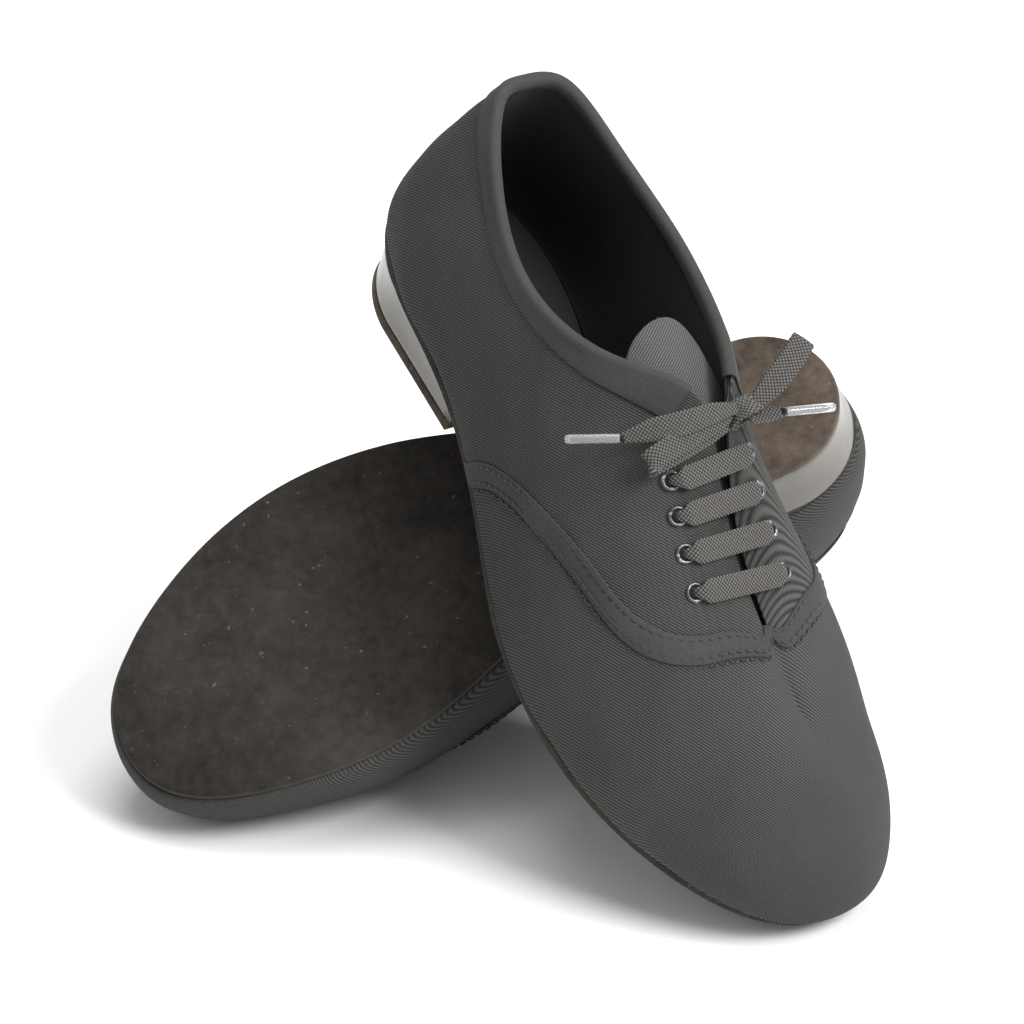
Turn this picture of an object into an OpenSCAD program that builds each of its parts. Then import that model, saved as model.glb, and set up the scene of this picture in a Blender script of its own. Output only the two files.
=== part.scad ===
// A pair of men's lace-up canvas dance shoes, each of about 27 separate pieces.
// One shoe is drawn once, as the right shoe: heel at x = 0, toe along +X, inner side +Y, ground at z = 0.
// The left shoe is its mirror image. The pair lies as it is set down: the left shoe on its
// instep with the sole up, the right shoe leaning across its waist with the toe on the ground.

/* [Heel] */
// Height of the heel at its front face, top piece included
heel_h = 22.5; // [20:0.5:26]
// Thickness of the suede top piece under the heel
top_piece_t = 4; // [3:0.5:5]
// Distance from the back of the shoe to the front face of the heel
heel_len = 79; // [72:1:84]
// Half width of the heel block where it meets the ground
heel_half_w = 27; // [25:0.5:30]

/* [Sole] */
// Thickness of the suede outsole
outsole_t = 4; // [3.5:0.1:4]
// Lift of the toe tip above the ground
toe_spring = 9; // [6:0.5:12]
// Thickness of the insole board
board_t = 2; // [1.5:0.1:2.2]
// Thickness of the foam sock that the foot stands on
sock_t = 1.2; // [0.8:0.1:1.5]

/* [Upper] */
// Thickness of the canvas
canvas_t = 1.1; // [0.8:0.1:1.1]
// How far the sides swell out beyond the edge of the sole
side_swell = 4.2; // [3:0.1:5]
// Half width of the tongue at its foot
tongue_half_w = 21; // [17:0.5:21]
// Thickness of the tongue
tongue_t = 1.8; // [1.2:0.1:2]

/* [Lacing] */
// Outer radius of an eyelet's rim
eyelet_r = 3.4; // [3:0.1:3.6]
// Inner radius of an eyelet
eyelet_bore_r = 2.1; // [1.9:0.05:2.2]
// Width of the flat lace
lace_w = 8; // [6:0.5:8]
// Thickness of the flat lace
lace_t = 1.4; // [1:0.1:1.6]
// Radius of the clear tips at the lace's ends
aglet_r = 1.5; // [1.2:0.1:1.6]
// Length of the clear tips
aglet_len = 18; // [15:1:20]

/* [Hidden] */

// Where each shoe stands, and how it is turned about X, then Y, then Z
left_at = [122.8, 57.7, 125.3];
left_turn = [149.4, 17.5, -157.2];
right_at = [-37, 80, 165.5];
right_turn = [-6.3, 36.9, -53.2];

// Control points of the sole's edge in plan, from the back of the heel round by the outer side.
// Knot 0 is the heel, knot 9 the toe, knot 18 the heel again.
edge_points = [[0, 0], [4, -23], [35, -36], [80, -34], [122, -40], [165, -55], [208, -56], [249, -41],
  [281, -21], [290, 8], [278, 34], [241, 49], [198, 53], [155, 39], [115, 27], [78, 29], [35, 35], [4, 22]];
// Control points of the upper's top edge at the same knots: topline, facings, then the ridge of the toe
top_points = [[4, 0, 96], [5, -15, 99], [34, -26, 86], [69, -35, 79], [106, -27, 87], [128, -5, 103],
  [146, 0, 86], [172, 0, 67], [208, 1, 58], [236, 3, 52], [208, 3, 58], [172, 4, 67], [146, 4, 86],
  [128, 10, 103], [106, 30, 87], [69, 41, 80], [34, 30, 87], [5, 18, 99]];
// The seam between vamp and quarters: distance in knots from the toe, and height from 0 to 1
seam_points = [[1.22, 1], [1.24, 0.94], [2.2, 0.72], [2.3, 0.68], [3.2, 0.49], [4.4, 0.53], [5.3, 0.32],
  [5.5, 0.05], [5.55, 0]];
// The lower edge of the band that covers that seam
band_points = [[1.07, 1], [1.08, 0.93], [2.1, 0.67], [2.3, 0.61], [3.15, 0.43], [4.3, 0.46], [5.13, 0.28],
  [5.33, 0.03], [5.4, 0]];
toe_knot = 9;
knots = 18;

// Distances of the layers from the outer face of the canvas, inwards
gap = 0.1;
stiffener_at = canvas_t + gap;
stiffener_t = 1;
lining_at = stiffener_at + stiffener_t + gap;
lining_t = 0.8;
// Distances of the tapes outside that face
tape_at = 0.4;
band_at = 0.6;
tape_t = 0.6;

// Heights above the upper face of the outsole
filler_t = 1.6;
board_at = filler_t + 2 * gap;
sock_at = board_at + board_t + gap;
board_inset = 5;
sock_inset = 5.5;

// Rows of the grids
side_rows = 9;
side_cols = 13;
toe_cols = 7;
sole_rows = 26;

// ---- Curves ----

function blend(a, b, f) = a + (b - a) * f;
function clamp(x, lo, hi) = max(lo, min(hi, x));
function ease(a, b, x) = let (t = clamp((x - a) / (b - a), 0, 1)) t * t * (3 - 2 * t);
function unit(v) = v / norm(v);

// Value of a uniform cubic B-spline between four neighbouring control points
function spline4(a, b, c, d, f) =
  (a * pow(1 - f, 3) + b * (3 * pow(f, 3) - 6 * f * f + 4)
   + c * (-3 * pow(f, 3) + 3 * f * f + 3 * f + 1) + d * pow(f, 3)) / 6;
// A closed B-spline, at s knots from its start
function closed_curve(p, s) =
  let (n = len(p), i = floor(s), f = s - i)
  spline4(p[(i + 2 * n - 1) % n], p[(i + 2 * n) % n], p[(i + 1 + 2 * n) % n], p[(i + 2 + 2 * n) % n], f);
// An open B-spline that starts at the first point (u = 0) and ends at the last (u = 1)
function open_point(p, i) = i < 0 ? 2 * p[0] - p[1] : i > len(p) - 1 ? 2 * p[len(p) - 1] - p[len(p) - 2] : p[i];
function open_curve(p, u) =
  let (x = u * (len(p) - 1), i = min(floor(x), len(p) - 2), f = x - i)
  spline4(open_point(p, i - 1), p[i], p[i + 1], open_point(p, i + 2), f);

// ---- The shape of the shoe ----

seat_rise = 1.5;
seat_end = 62;
waist_start = 52;
ball_start = 158;
toe_start = 222;
toe_end = 286;
// Height of the outsole's lower face at distance x from the heel
function ground(x) =
  (heel_h + seat_rise * clamp((seat_end - x) / seat_end, 0, 1)) * (1 - ease(waist_start, ball_start, x))
  + toe_spring * pow(clamp((x - toe_start) / (toe_end - toe_start), 0, 1.2), 2);
// Edge of the sole, on the outsole's upper face
function edge(s) = let (p = closed_curve(edge_points, s)) [p.x, p.y, ground(p.x) + outsole_t];
// Level direction straight out of the shoe at knot s
function outwards(s) = let (d = closed_curve(edge_points, s + 0.01) - closed_curve(edge_points, s - 0.01))
  unit([d.y, -d.x]);
// How much the section is domed: 1 at the toe, 0 at the heel
function dome(s) = 1 - ease(1.2, 4.6, abs(s - toe_knot));
function wrap(s) = s < 0 ? s + knots : s > knots ? s - knots : s;
// Outer face of the upper: s goes round the shoe, t from the sole's edge (0) to the top edge (1)
function upper(s0, t) =
  let (s = wrap(s0), b = edge(s), e = closed_curve(top_points, s), o = outwards(s), w = dome(s),
       g = w * (1 - pow(cos(90 * t), 1.25 - 0.25 * pow(t, 4))) + (1 - w) * pow(t, 1.9),
       h = w * pow(sin(90 * t), 0.95) + (1 - w) * pow(t, 0.97),
       k = t < 1 ? side_swell * sin(180 * pow(t, 0.62)) : 0)
  [b.x + (e.x - b.x) * g + o.x * k, b.y + (e.y - b.y) * g + o.y * k, b.z + (e.z - b.z) * h];
// Direction straight out of that face
function facing_out(s, t) =
  let (ds = 0.02, dt = 0.02, t0 = max(t - dt, 0), t1 = min(t + dt, 1))
  unit(cross(upper(s + ds, clamp(t, dt, 1 - dt / 2)) - upper(s - ds, clamp(t, dt, 1 - dt / 2)),
             upper(s, t1) - upper(s, t0)));
// A point at distance d outside that face, or inside it where d is negative
function skin(s, t, d) = upper(s, t) + d * facing_out(s, t);

// ---- Solids from grids ----

// Index of a grid's point, where the last row may be folded on itself
function at(i, j, rows, cols, folded) =
  i * cols + (folded && i == rows - 1 && j > (cols - 1) / 2 ? cols - 1 - j : j);
function quad(a, b, c, d) = [for (f = [[a, b, c], [a, c, d]])
  if (f[0] != f[1] && f[1] != f[2] && f[2] != f[0]) f];
// A closed sheet between two grids of points that match one to one, rim included
module sheet(outer, inner, folded = false) {
  rows = len(outer);
  cols = len(outer[0]);
  half = rows * cols;
  points = [for (grid = [outer, inner]) for (row = grid) each row];
  function o(i, j) = at(i, j, rows, cols, folded);
  function n(i, j) = half + at(i, j, rows, cols, folded);
  faces = [
    for (i = [0 : rows - 2], j = [0 : cols - 2])
      each concat(quad(o(i, j), o(i, j + 1), o(i + 1, j + 1), o(i + 1, j)),
                  quad(n(i, j), n(i + 1, j), n(i + 1, j + 1), n(i, j + 1))),
    for (i = [0 : rows - 2])
      each concat(quad(o(i, 0), o(i + 1, 0), n(i + 1, 0), n(i, 0)),
                  quad(o(i, cols - 1), n(i, cols - 1), n(i + 1, cols - 1), o(i + 1, cols - 1))),
    for (j = [0 : cols - 2])
      each concat(quad(o(0, j), n(0, j), n(0, j + 1), o(0, j + 1)),
                  folded ? [] : quad(o(rows - 1, j), o(rows - 1, j + 1), n(rows - 1, j + 1), n(rows - 1, j)))
  ];
  polyhedron(points, faces, convexity = 8);
}

// A closed loft through rings of points, each ring anticlockwise seen from the last one's side
module loft(rings) {
  n = len(rings[0]);
  m = len(rings);
  points = [for (r = rings) each r];
  faces = concat([[for (j = [0 : n - 1]) j]], [[for (j = [n - 1 : -1 : 0]) (m - 1) * n + j]],
    [for (i = [0 : m - 2], j = [0 : n - 1]) each let (a = i * n + j, b = i * n + (j + 1) % n)
      [[a, a + n, b], [b, a + n, b + n]]]);
  polyhedron(points, faces, convexity = 8);
}

// A level plate that follows the sole: inset from the sole's edge, between two heights above the outsole
end_trim = 0.985;
function sole_knot(i) = toe_knot / 2 * (1 - end_trim * cos(180 * i / (sole_rows - 1)));
function sole_rung(s, inset, v) =
  let (a = closed_curve(edge_points, s) - inset * outwards(s),
       b = closed_curve(edge_points, knots - s) - inset * outwards(knots - s))
  blend(a, b, v);
module sole_plate(inset, z0, z1, i0 = 0, i1 = sole_rows - 1, cols = 5, across = [0, 1]) {
  function layer(z) = [for (i = [i0 : i1]) [for (j = [0 : cols - 1])
    let (p = sole_rung(sole_knot(i), inset, blend(across[0], across[1], j / (cols - 1))))
    [p.x, p.y, ground(p.x) + outsole_t + z]]];
  sheet(layer(z1), layer(z0));
}

// ---- Bottom of the shoe ----

heel_seat_half_w = 32;
heel_steps = 18;
// Outline of the heel at height h, from 0 at the ground to 1 at the seat
function heel_ring(h) =
  let (half_w = blend(heel_half_w, heel_seat_half_w, h), back = blend(8, 2, h), front = heel_len + 2 * h,
       r = 1.08 * half_w)
  concat([[front, -half_w + 1.5], [front, half_w - 1.5]],
         [for (i = [0 : heel_steps]) let (a = 90 + 180 * i / heel_steps)
           [back + r + r * cos(a), half_w * sin(a)]]);
heel_bores = [[22, 0], [34, -15], [34, 15], [58, -14], [58, 14]];
nail_r = 1.2;
nail_len = 15;
nail_sink = 0.2;

module outsole() {
  color("#3b342c") difference() {
    sole_plate(0.4, -outsole_t, -0.05, cols = 7);
    for (p = heel_bores) translate([p.x, p.y, 0]) cylinder(h = heel_h + 20, r = nail_r + 0.1, $fn = 20);
  }
}

module heel_block() {
  color("#b9b4ad") difference() {
    loft([for (h = [0 : 0.5 : 1]) [for (p = heel_ring(h))
      [p.x, p.y, blend(top_piece_t + gap, ground(p.x) - gap, h)]]]);
    for (p = heel_bores) translate([p.x, p.y, heel_h - 10]) cylinder(h = 30, r = nail_r + 0.1, $fn = 20);
  }
}

module heel_top_piece() {
  color("#4a3f33") linear_extrude(top_piece_t) polygon(heel_ring(0));
}

module heel_nails() {
  color("silver") for (p = heel_bores)
    translate([p.x, p.y, ground(p.x) + outsole_t + board_at + board_t - nail_len - nail_sink])
    cylinder(h = nail_len, r = nail_r, $fn = 20);
}

module insole_board() {
  color("#b39a72") difference() {
    sole_plate(board_inset, board_at, board_at + board_t);
    for (p = heel_bores) translate([p.x, p.y, 0]) cylinder(h = heel_h + 20, r = nail_r + 0.1, $fn = 20);
  }
}

// The shank lies along the middle of the waist, on these rows of the sole's grid
shank_rows = [9, 15];
shank_v = [0.4, 0.6];
module shank() {
  color("gray") sole_plate(0, 3 * gap, filler_t - gap, shank_rows[0], shank_rows[1], 2, shank_v);
}

module forepart_filler() {
  color("#8a6f4d") sole_plate(14, gap, filler_t, 15, 23);
}

module sock_liner() {
  color("#2d2d30") sole_plate(sock_inset, sock_at, sock_at + sock_t, cols = 7);
}

// ---- Upper ----

// Heights of the grid's rows, from the top edge down, which follow the seam's own points
function seam(u) = open_curve(seam_points, u);
function seam_knot(u) = toe_knot - seam(u)[0];
function side_knot(side, s) = side < 0 ? s : knots - s;

// The vamp's grid: from the seam to the toe, and from the outer edge over the ridge to the inner edge
function vamp_point(f, v, d) =
  let (m = seam(abs(v)), s = blend(toe_knot - m[0], toe_knot, f), t = m[1])
  v == 0 ? (skin(s, 1, d) + skin(knots - s, 1, d)) / 2 : skin(side_knot(sign(v), s), t, d);
function vamp_grid(first, d) =
  [for (i = [first : toe_cols]) [for (j = [-side_rows : side_rows]) vamp_point(i / toe_cols, j / side_rows, d)]];
module vamp_layer(first, d0, d1) { sheet(vamp_grid(first, d0), vamp_grid(first, d1), folded = true); }

// A quarter's grid: from the back seam to the vamp's seam, and from the sole up to the top edge
function quarter_point(side, f, u, d) = skin(side_knot(side, blend(0.02, seam_knot(u), f)), seam(u)[1], d);
function quarter_row(side, i, j0, j1, d) =
  [for (j = [j0 : j1]) quarter_point(side, i / side_cols, 1 - j / side_rows, d)];
function quarter_grid(side, i0, i1, j0, j1, d) = side < 0
  ? [for (i = [i0 : i1]) quarter_row(side, i, j0, j1, d)]
  : [for (i = [i1 : -1 : i0]) quarter_row(side, i, j0, j1, d)];
module quarter_layer(side, d0, d1, i0 = 0, i1 = side_cols, j0 = 0, j1 = side_rows) {
  sheet(quarter_grid(side, i0, i1, j0, j1, d0), quarter_grid(side, i0, i1, j0, j1, d1));
}

// Places of the eyelets, counted from the top pair down
eyelet_rows = 4;
function eyelet_knot(side, k) = side < 0 ? 5.42 + 0.31 * k : knots - 5.8 - 0.37 * k;
function eyelet_height(side, k) = side < 0 ? 0.823 - 0.034 * k : 0.92 - 0.028 * k;
function eyelet_point(side, k, d) = skin(eyelet_knot(side, k), eyelet_height(side, k), d);
// Puts its children at an eyelet, with z straight out of the shoe
module at_eyelet(side, k) {
  n = facing_out(eyelet_knot(side, k), eyelet_height(side, k));
  translate(eyelet_point(side, k, 0)) rotate([0, acos(n.z), atan2(n.y, n.x)]) children();
}
module eyelet_bores(side) {
  for (k = [0 : eyelet_rows - 1]) at_eyelet(side, k)
    cylinder(h = 12, r = eyelet_bore_r + 0.5, center = true, $fn = 24);
}

module vamp() { color("#4c4e4f") vamp_layer(0, 0, -canvas_t); }
module quarter(side) {
  color("#3c3e40") difference() {
    quarter_layer(side, 0, -canvas_t);
    eyelet_bores(side);
  }
}
module quarter_outer() { quarter(-1); }
module quarter_inner() { quarter(1); }
// The toe puff starts at this column of the vamp's grid
puff_from = 3;
module toe_puff() { color("#777777") vamp_layer(puff_from, -stiffener_at, -stiffener_at - stiffener_t); }
module vamp_lining() { color("#202225") vamp_layer(0, -lining_at, -lining_at - lining_t); }
module quarter_lining() {
  color("#17181a") for (side = [-1, 1]) difference() {
    quarter_layer(side, -lining_at, -lining_at - lining_t);
    eyelet_bores(side);
  }
}
// The counter goes round the heel, as far as these columns and rows of the quarters' grids
counter_cols = 4;
counter_rows = 5;
module heel_counter() {
  function grid(d) = concat(quarter_grid(1, 0, counter_cols, 0, counter_rows, d),
                            quarter_grid(-1, 0, counter_cols, 0, counter_rows, d));
  color("#888888") sheet(grid(-stiffener_at), grid(-stiffener_at - stiffener_t));
}
module topline_binding() {
  function grid(d) = [for (i = [-26 : 26]) [for (t = [0.91, 0.955, 1]) skin(5 * i / 26, t, d)]];
  color("#2b2c2e") sheet(grid(tape_at + tape_t), grid(tape_at));
}
module vamp_band() {
  function band(v, f, d) = let (u = abs(v), a = seam(u), b = open_curve(band_points, u),
      p = blend(a, b, f)) v == 0
    ? (skin(toe_knot - p[0], 1, d) + skin(toe_knot + p[0], 1, d)) / 2
    : skin(side_knot(sign(v), toe_knot - p[0]), p[1], d);
  function grid(d) = [for (f = [0, 0.5, 1]) [for (j = [-20 : 20]) band(j / 20, f, d)]];
  color("#2b2c2e") sheet(grid(band_at + tape_t), grid(band_at));
}
// The stays lie under the facings, on the last columns and the top rows of the quarters' grids
stay_cols = [8, 12];
stay_rows = [6, 9];
module facing_stays() {
  color("#55585a") for (side = [-1, 1]) difference() {
    quarter_layer(side, -stiffener_at, -stiffener_at - stiffener_t,
                  stay_cols[0], stay_cols[1], stay_rows[0], stay_rows[1]);
    eyelet_bores(side);
  }
}

// Middle line of the tongue, from its sewn foot at the throat to its free end. Its sides droop more
// towards the free end, where it stands in the mouth of the shoe.
tongue_line = [[196, 2, 56.6], [172, 2, 65.1], [150, 2, 77.6], [132, 1, 87.6], [116, 0, 93.1], [100, -1, 95.6]];
tongue_rows = 12;
tongue_round_from = 0.8;
foot_droop = 3;
top_droop = 13.5;
tongue_taper = 4;
module tongue() {
  function width(u) = blend(tongue_half_w, tongue_half_w - tongue_taper, u)
    * sqrt(1 - 0.97 * pow(max(0, u - tongue_round_from) / (1 - tongue_round_from), 2));
  function grid(d) = [for (i = [tongue_rows : -1 : 0])
    let (u = i / tongue_rows, c = open_curve(tongue_line, u), droop = blend(foot_droop, top_droop, u))
    [for (j = [-4 : 4]) let (y = width(u) * j / 4) c + [0, y, d - droop * pow(y / tongue_half_w, 2)]]];
  color("#4c4e4f") sheet(grid(0), grid(-tongue_t));
}

// ---- Lacing ----

module eyelets() {
  depth = lining_at + lining_t + 0.3;
  barrel_r = eyelet_bore_r + 0.4;
  rim_low = 0.35;
  rim_high = 0.9;
  color("#2a2a2c") for (side = [-1, 1]) for (k = [0 : eyelet_rows - 1]) at_eyelet(side, k)
    rotate_extrude($fn = 32) polygon([[eyelet_bore_r, -depth], [barrel_r, -depth], [barrel_r, rim_low],
      [eyelet_r, rim_low], [eyelet_r - 0.3, rim_high], [eyelet_bore_r, rim_high]]);
}

// A flat band carried along a route: route points, and for each the direction across the band and its width
function band_ring(p, across, up, w, t) = [for (k = [0 : 7]) let (a = 22.5 + 45 * k)
  p + across * (w / 2 * cos(a) / cos(22.5)) + up * (t / 2 * sin(a) / cos(22.5))];
module band_sweep(points, across, widths, t) {
  n = len(points);
  loft([for (i = [0 : n - 1])
    let (d = unit(points[min(i + 1, n - 1)] - points[max(i - 1, 0)]),
         c = unit(across[i] - d * (across[i] * d)), up = cross(c, d))
    band_ring(points[i], c, up, widths[i], t)]);
}

// A point of bar k, on a straight line between its two eyelets: v goes from the outer one (-1) to
// the inner one (1), and d is the height over that line
bar_up = unit([0.5, 0, 0.85]);
top_bar_lift = 0.5;
function bar_point(k, v, d) = blend(eyelet_point(-1, k, 0), eyelet_point(1, k, 0), (v + 1) / 2)
  + (d + (k == 0 ? top_bar_lift : 0)) * bar_up;
// Each bar of the lacing comes up through one eyelet, crosses the facings and goes down through the other
module lace() {
  stops = [[-0.93, 2.8, 5], [-0.8, 3.5, lace_w], [-0.45, 3.5, lace_w], [-0.15, 3.3, lace_w],
    [0.15, 3.1, lace_w], [0.45, 2.9, lace_w], [0.8, 2.8, lace_w], [0.93, 2.5, 5]];
  foot_w = 2.8;
  color("#333436") for (k = [0 : eyelet_rows - 1]) {
    points = concat([eyelet_point(-1, k, -4.2), eyelet_point(-1, k, 0.6)],
                    [for (p = stops) bar_point(k, p[0], p[1])],
                    [eyelet_point(1, k, 0.6), eyelet_point(1, k, -4.2)]);
    widths = concat([foot_w, foot_w], [for (p = stops) p[2]], [foot_w, foot_w]);
    across = cross(unit(eyelet_point(1, k, 0) - eyelet_point(-1, k, 0)), bar_up);
    band_sweep(points, [for (p = points) across], widths, lace_t);
  }
}

// The bow: its knot, and the routes of its halves, each out to the fold of the loop, back into the
// knot and on to the tip. The right shoe's bow stands over the facings. The left shoe's lies flat
// over the outer side and the tongue, clear of the ground that the shoe lies on.
right_knot = [139.5, 7, 98];
left_knot = [141, -6.5, 96];
module lace_knot(centre) {
  color("#333436") hull() for (y = [-2.5, 2.5]) translate(centre + [0, y, 0.6 * y]) sphere(r = 4, $fn = 20);
}

right_outer_route = [[141, 4, 95.5], [142, -6, 92.5], [143, -16, 90], [143.5, -25, 86.5], [143.6, -28.5, 86.6],
  [142.8, -26, 89.4], [141.5, -16, 93], [140.5, -6, 95.8], [139.8, 2, 97.4], [139.3, 4.2, 98.7],
  [138.8, 2, 100], [138, -6, 99.3], [137.3, -16, 96.8], [135, -25, 92.5], [132, -33, 86]];
right_inner_route = [[140.5, 8, 96.4], [139.5, 12, 100], [136.5, 18.5, 105], [132.5, 25.5, 109.5],
  [129, 30.8, 112.8], [129.3, 30.2, 115], [133.2, 24.2, 112.2], [137.2, 17, 107.6], [140, 10.5, 102.6],
  [141.8, 7.4, 99.6], [143, 9, 98.2], [143.8, 14, 99.2], [145.5, 20.5, 101]];
left_outer_route = [[141, -7, 93.5], [143, -14, 91], [144, -22, 88], [144, -29, 83.5], [144, -32.3, 83.2],
  [143, -30, 86], [142, -22, 90.8], [141, -14, 94], [140.4, -9, 95.6], [140, -6.5, 97],
  [139.6, -9, 98.3], [139, -16, 96.8], [138, -24, 92.6], [136, -32, 85.5], [132.5, -39, 77]];
left_inner_route = [[141, -4, 95.5], [137, -3.5, 97.2], [131, -2.5, 98.8], [123, -1.5, 99.6], [114, -1, 100.2],
  [111.5, -1, 101.4], [114, -1, 103.4], [123, -1.6, 102.9], [131, -2.8, 101.9], [137, -4.2, 100.2],
  [140.6, -6.5, 98.4], [142.6, -9, 96.8], [146, -15, 93], [151, -22, 88.5], [158, -29, 82]];
outer_widths = [4, 7, 8, 8, 8, 8, 8, 7, 4, 4, 4, 7, 8, 8, 3];
right_inner_widths = [4, 6, 8, 8, 8, 8, 8, 8, 5, 4, 4, 6, 3];
left_inner_widths = [4, 6, 8, 8, 8, 8, 8, 8, 8, 5, 4, 4, 7, 8, 3];
outer_across = [0.85, 0, -0.5];
right_inner_across = [0.86, 0.48, 0.09];
left_inner_across = [0.4, 0.9, 0.1];
right_outer_tip = [122.5, -44.5, 75];
right_inner_tip = [150, 37, 104];
left_outer_tip = [123, -49, 63];
left_inner_tip = [168, -41, 70];
module bow(route, widths, across) {
  color("#333436") band_sweep(route, [for (p = route) across], [for (w = widths) w * lace_w / 8], lace_t);
}

// A clear tip that starts where the lace ends and points along a direction
module aglet(from, to) {
  n = unit(to - from);
  color("#d8dadb") translate(from + n * gap) rotate([0, acos(n.z), atan2(n.y, n.x)])
    cylinder(h = aglet_len, r = aglet_r, $fn = 24);
}
function last(list) = list[len(list) - 1];

// ---- The pair ----

module left() { translate(left_at) rotate(left_turn) mirror([0, 1, 0]) children(); }
module right() { translate(right_at) rotate(right_turn) children(); }

left() outsole();  // left_outsole
left() heel_block();  // left_heel_block
left() heel_top_piece();  // left_heel_top_piece
left() heel_nails();  // left_heel_nails
left() insole_board();  // left_insole_board
left() shank();  // left_shank
left() forepart_filler();  // left_forepart_filler
left() sock_liner();  // left_sock_liner
left() vamp();  // left_vamp
left() quarter_outer();  // left_quarter_outer
left() quarter_inner();  // left_quarter_inner
left() vamp_lining();  // left_vamp_lining
left() quarter_lining();  // left_quarter_lining
left() heel_counter();  // left_heel_counter
left() toe_puff();  // left_toe_puff
left() tongue();  // left_tongue
left() topline_binding();  // left_topline_binding
left() vamp_band();  // left_vamp_band
left() facing_stays();  // left_facing_stays
left() eyelets();  // left_eyelets
left() lace();  // left_lace
left() lace_knot(left_knot);  // left_lace_knot
left() bow(left_outer_route, outer_widths, outer_across);  // left_bow_outer
left() bow(left_inner_route, left_inner_widths, left_inner_across);  // left_bow_inner
left() aglet(last(left_outer_route), left_outer_tip);  // left_aglet_outer
left() aglet(last(left_inner_route), left_inner_tip);  // left_aglet_inner
right() outsole();  // right_outsole
right() heel_block();  // right_heel_block
right() heel_top_piece();  // right_heel_top_piece
right() heel_nails();  // right_heel_nails
right() insole_board();  // right_insole_board
right() shank();  // right_shank
right() forepart_filler();  // right_forepart_filler
right() sock_liner();  // right_sock_liner
right() vamp();  // right_vamp
right() quarter_outer();  // right_quarter_outer
right() quarter_inner();  // right_quarter_inner
right() vamp_lining();  // right_vamp_lining
right() quarter_lining();  // right_quarter_lining
right() heel_counter();  // right_heel_counter
right() toe_puff();  // right_toe_puff
right() tongue();  // right_tongue
right() topline_binding();  // right_topline_binding
right() vamp_band();  // right_vamp_band
right() facing_stays();  // right_facing_stays
right() eyelets();  // right_eyelets
right() lace();  // right_lace
right() lace_knot(right_knot);  // right_lace_knot
right() bow(right_outer_route, outer_widths, outer_across);  // right_bow_outer
right() bow(right_inner_route, right_inner_widths, right_inner_across);  // right_bow_inner
right() aglet(last(right_outer_route), right_outer_tip);  // right_aglet_outer
right() aglet(last(right_inner_route), right_inner_tip);  // right_aglet_inner
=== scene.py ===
# %% [markdown]
# # A pair of canvas dance shoes
# The shoes have charcoal twill uppers, suede soles, low glossy heels and flat woven laces.
# The left one lies on its instep with the sole up, and the right one leans across it.
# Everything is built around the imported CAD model, which is loaded first and never changed.

# %% Load the frame
import math

import bpy
import numpy as np
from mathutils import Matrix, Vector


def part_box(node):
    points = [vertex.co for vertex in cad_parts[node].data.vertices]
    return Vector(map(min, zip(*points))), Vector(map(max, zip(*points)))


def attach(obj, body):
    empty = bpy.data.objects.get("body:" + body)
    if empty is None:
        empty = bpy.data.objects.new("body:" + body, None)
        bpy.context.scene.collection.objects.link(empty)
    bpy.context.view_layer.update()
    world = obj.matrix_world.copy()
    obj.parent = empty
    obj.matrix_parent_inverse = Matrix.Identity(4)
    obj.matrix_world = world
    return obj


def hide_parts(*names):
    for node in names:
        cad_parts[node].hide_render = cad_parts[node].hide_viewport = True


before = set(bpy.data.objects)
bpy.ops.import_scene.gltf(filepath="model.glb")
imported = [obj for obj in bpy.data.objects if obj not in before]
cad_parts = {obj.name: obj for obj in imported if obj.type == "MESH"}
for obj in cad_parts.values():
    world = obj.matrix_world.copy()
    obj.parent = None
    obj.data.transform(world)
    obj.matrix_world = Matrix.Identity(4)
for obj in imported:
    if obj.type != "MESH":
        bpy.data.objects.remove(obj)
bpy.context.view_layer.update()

scene = bpy.context.scene

# %% [markdown]
# ## The camera
# A long lens from about 1.3 m keeps the proportions of a small product flat and calm. The camera
# looks slightly down, so that the lifted heel, the instep and the upturned sole all show.

# %% Camera
from mathutils import Vector

camera_data = bpy.data.cameras.new("camera")
camera_data.lens = 135.65
camera_data.sensor_width = 36
camera = bpy.data.objects.new("camera", camera_data)
camera.location = (0.0066, -1.1451, 0.7401)
camera.rotation_euler = Vector((-0.00134, 0.87159, -0.49024)).to_track_quat("-Z", "Y").to_euler()
scene.collection.objects.link(camera)
scene.camera = camera
print("camera at", tuple(round(c, 3) for c in camera.location))

# %% [markdown]
# ## The last, in numbers
# A shoe is built over a last: a solid foot shape. Here the last is two closed curves, the edge
# of the sole and the top edge of the upper, and a rule that fills the surface between them.
# The same few control points shape the CAD parts, so that cloth and CAD lie in one place.
# The shoe is drawn once, heel at x = 0, toe along +X, inner side +Y, in millimetres.

# %% Control points
EDGE = np.array([[0, 0], [4, -23], [35, -36], [80, -34], [122, -40], [165, -55], [208, -56], [249, -41],
    [281, -21], [290, 8], [278, 34], [241, 49], [198, 53], [155, 39], [115, 27], [78, 29], [35, 35], [4, 22]], float)
TOP = np.array([[4, 0, 96], [5, -15, 99], [34, -26, 86], [69, -35, 79], [106, -27, 87], [128, -5, 103],
    [146, 0, 86], [172, 0, 67], [208, 1, 58], [236, 3, 52], [208, 3, 58], [172, 4, 67], [146, 4, 86],
    [128, 10, 103], [106, 30, 87], [69, 41, 80], [34, 30, 87], [5, 18, 99]], float)
SEAM = np.array([[1.22, 1], [1.24, 0.94], [2.2, 0.72], [2.3, 0.68], [3.2, 0.49], [4.4, 0.53], [5.3, 0.32],
    [5.5, 0.05], [5.55, 0]])
BAND = np.array([[1.07, 1], [1.08, 0.93], [2.1, 0.67], [2.3, 0.61], [3.15, 0.43], [4.3, 0.46], [5.13, 0.28],
    [5.33, 0.03], [5.4, 0]])
KNOTS, TOE = 18, 9
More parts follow.
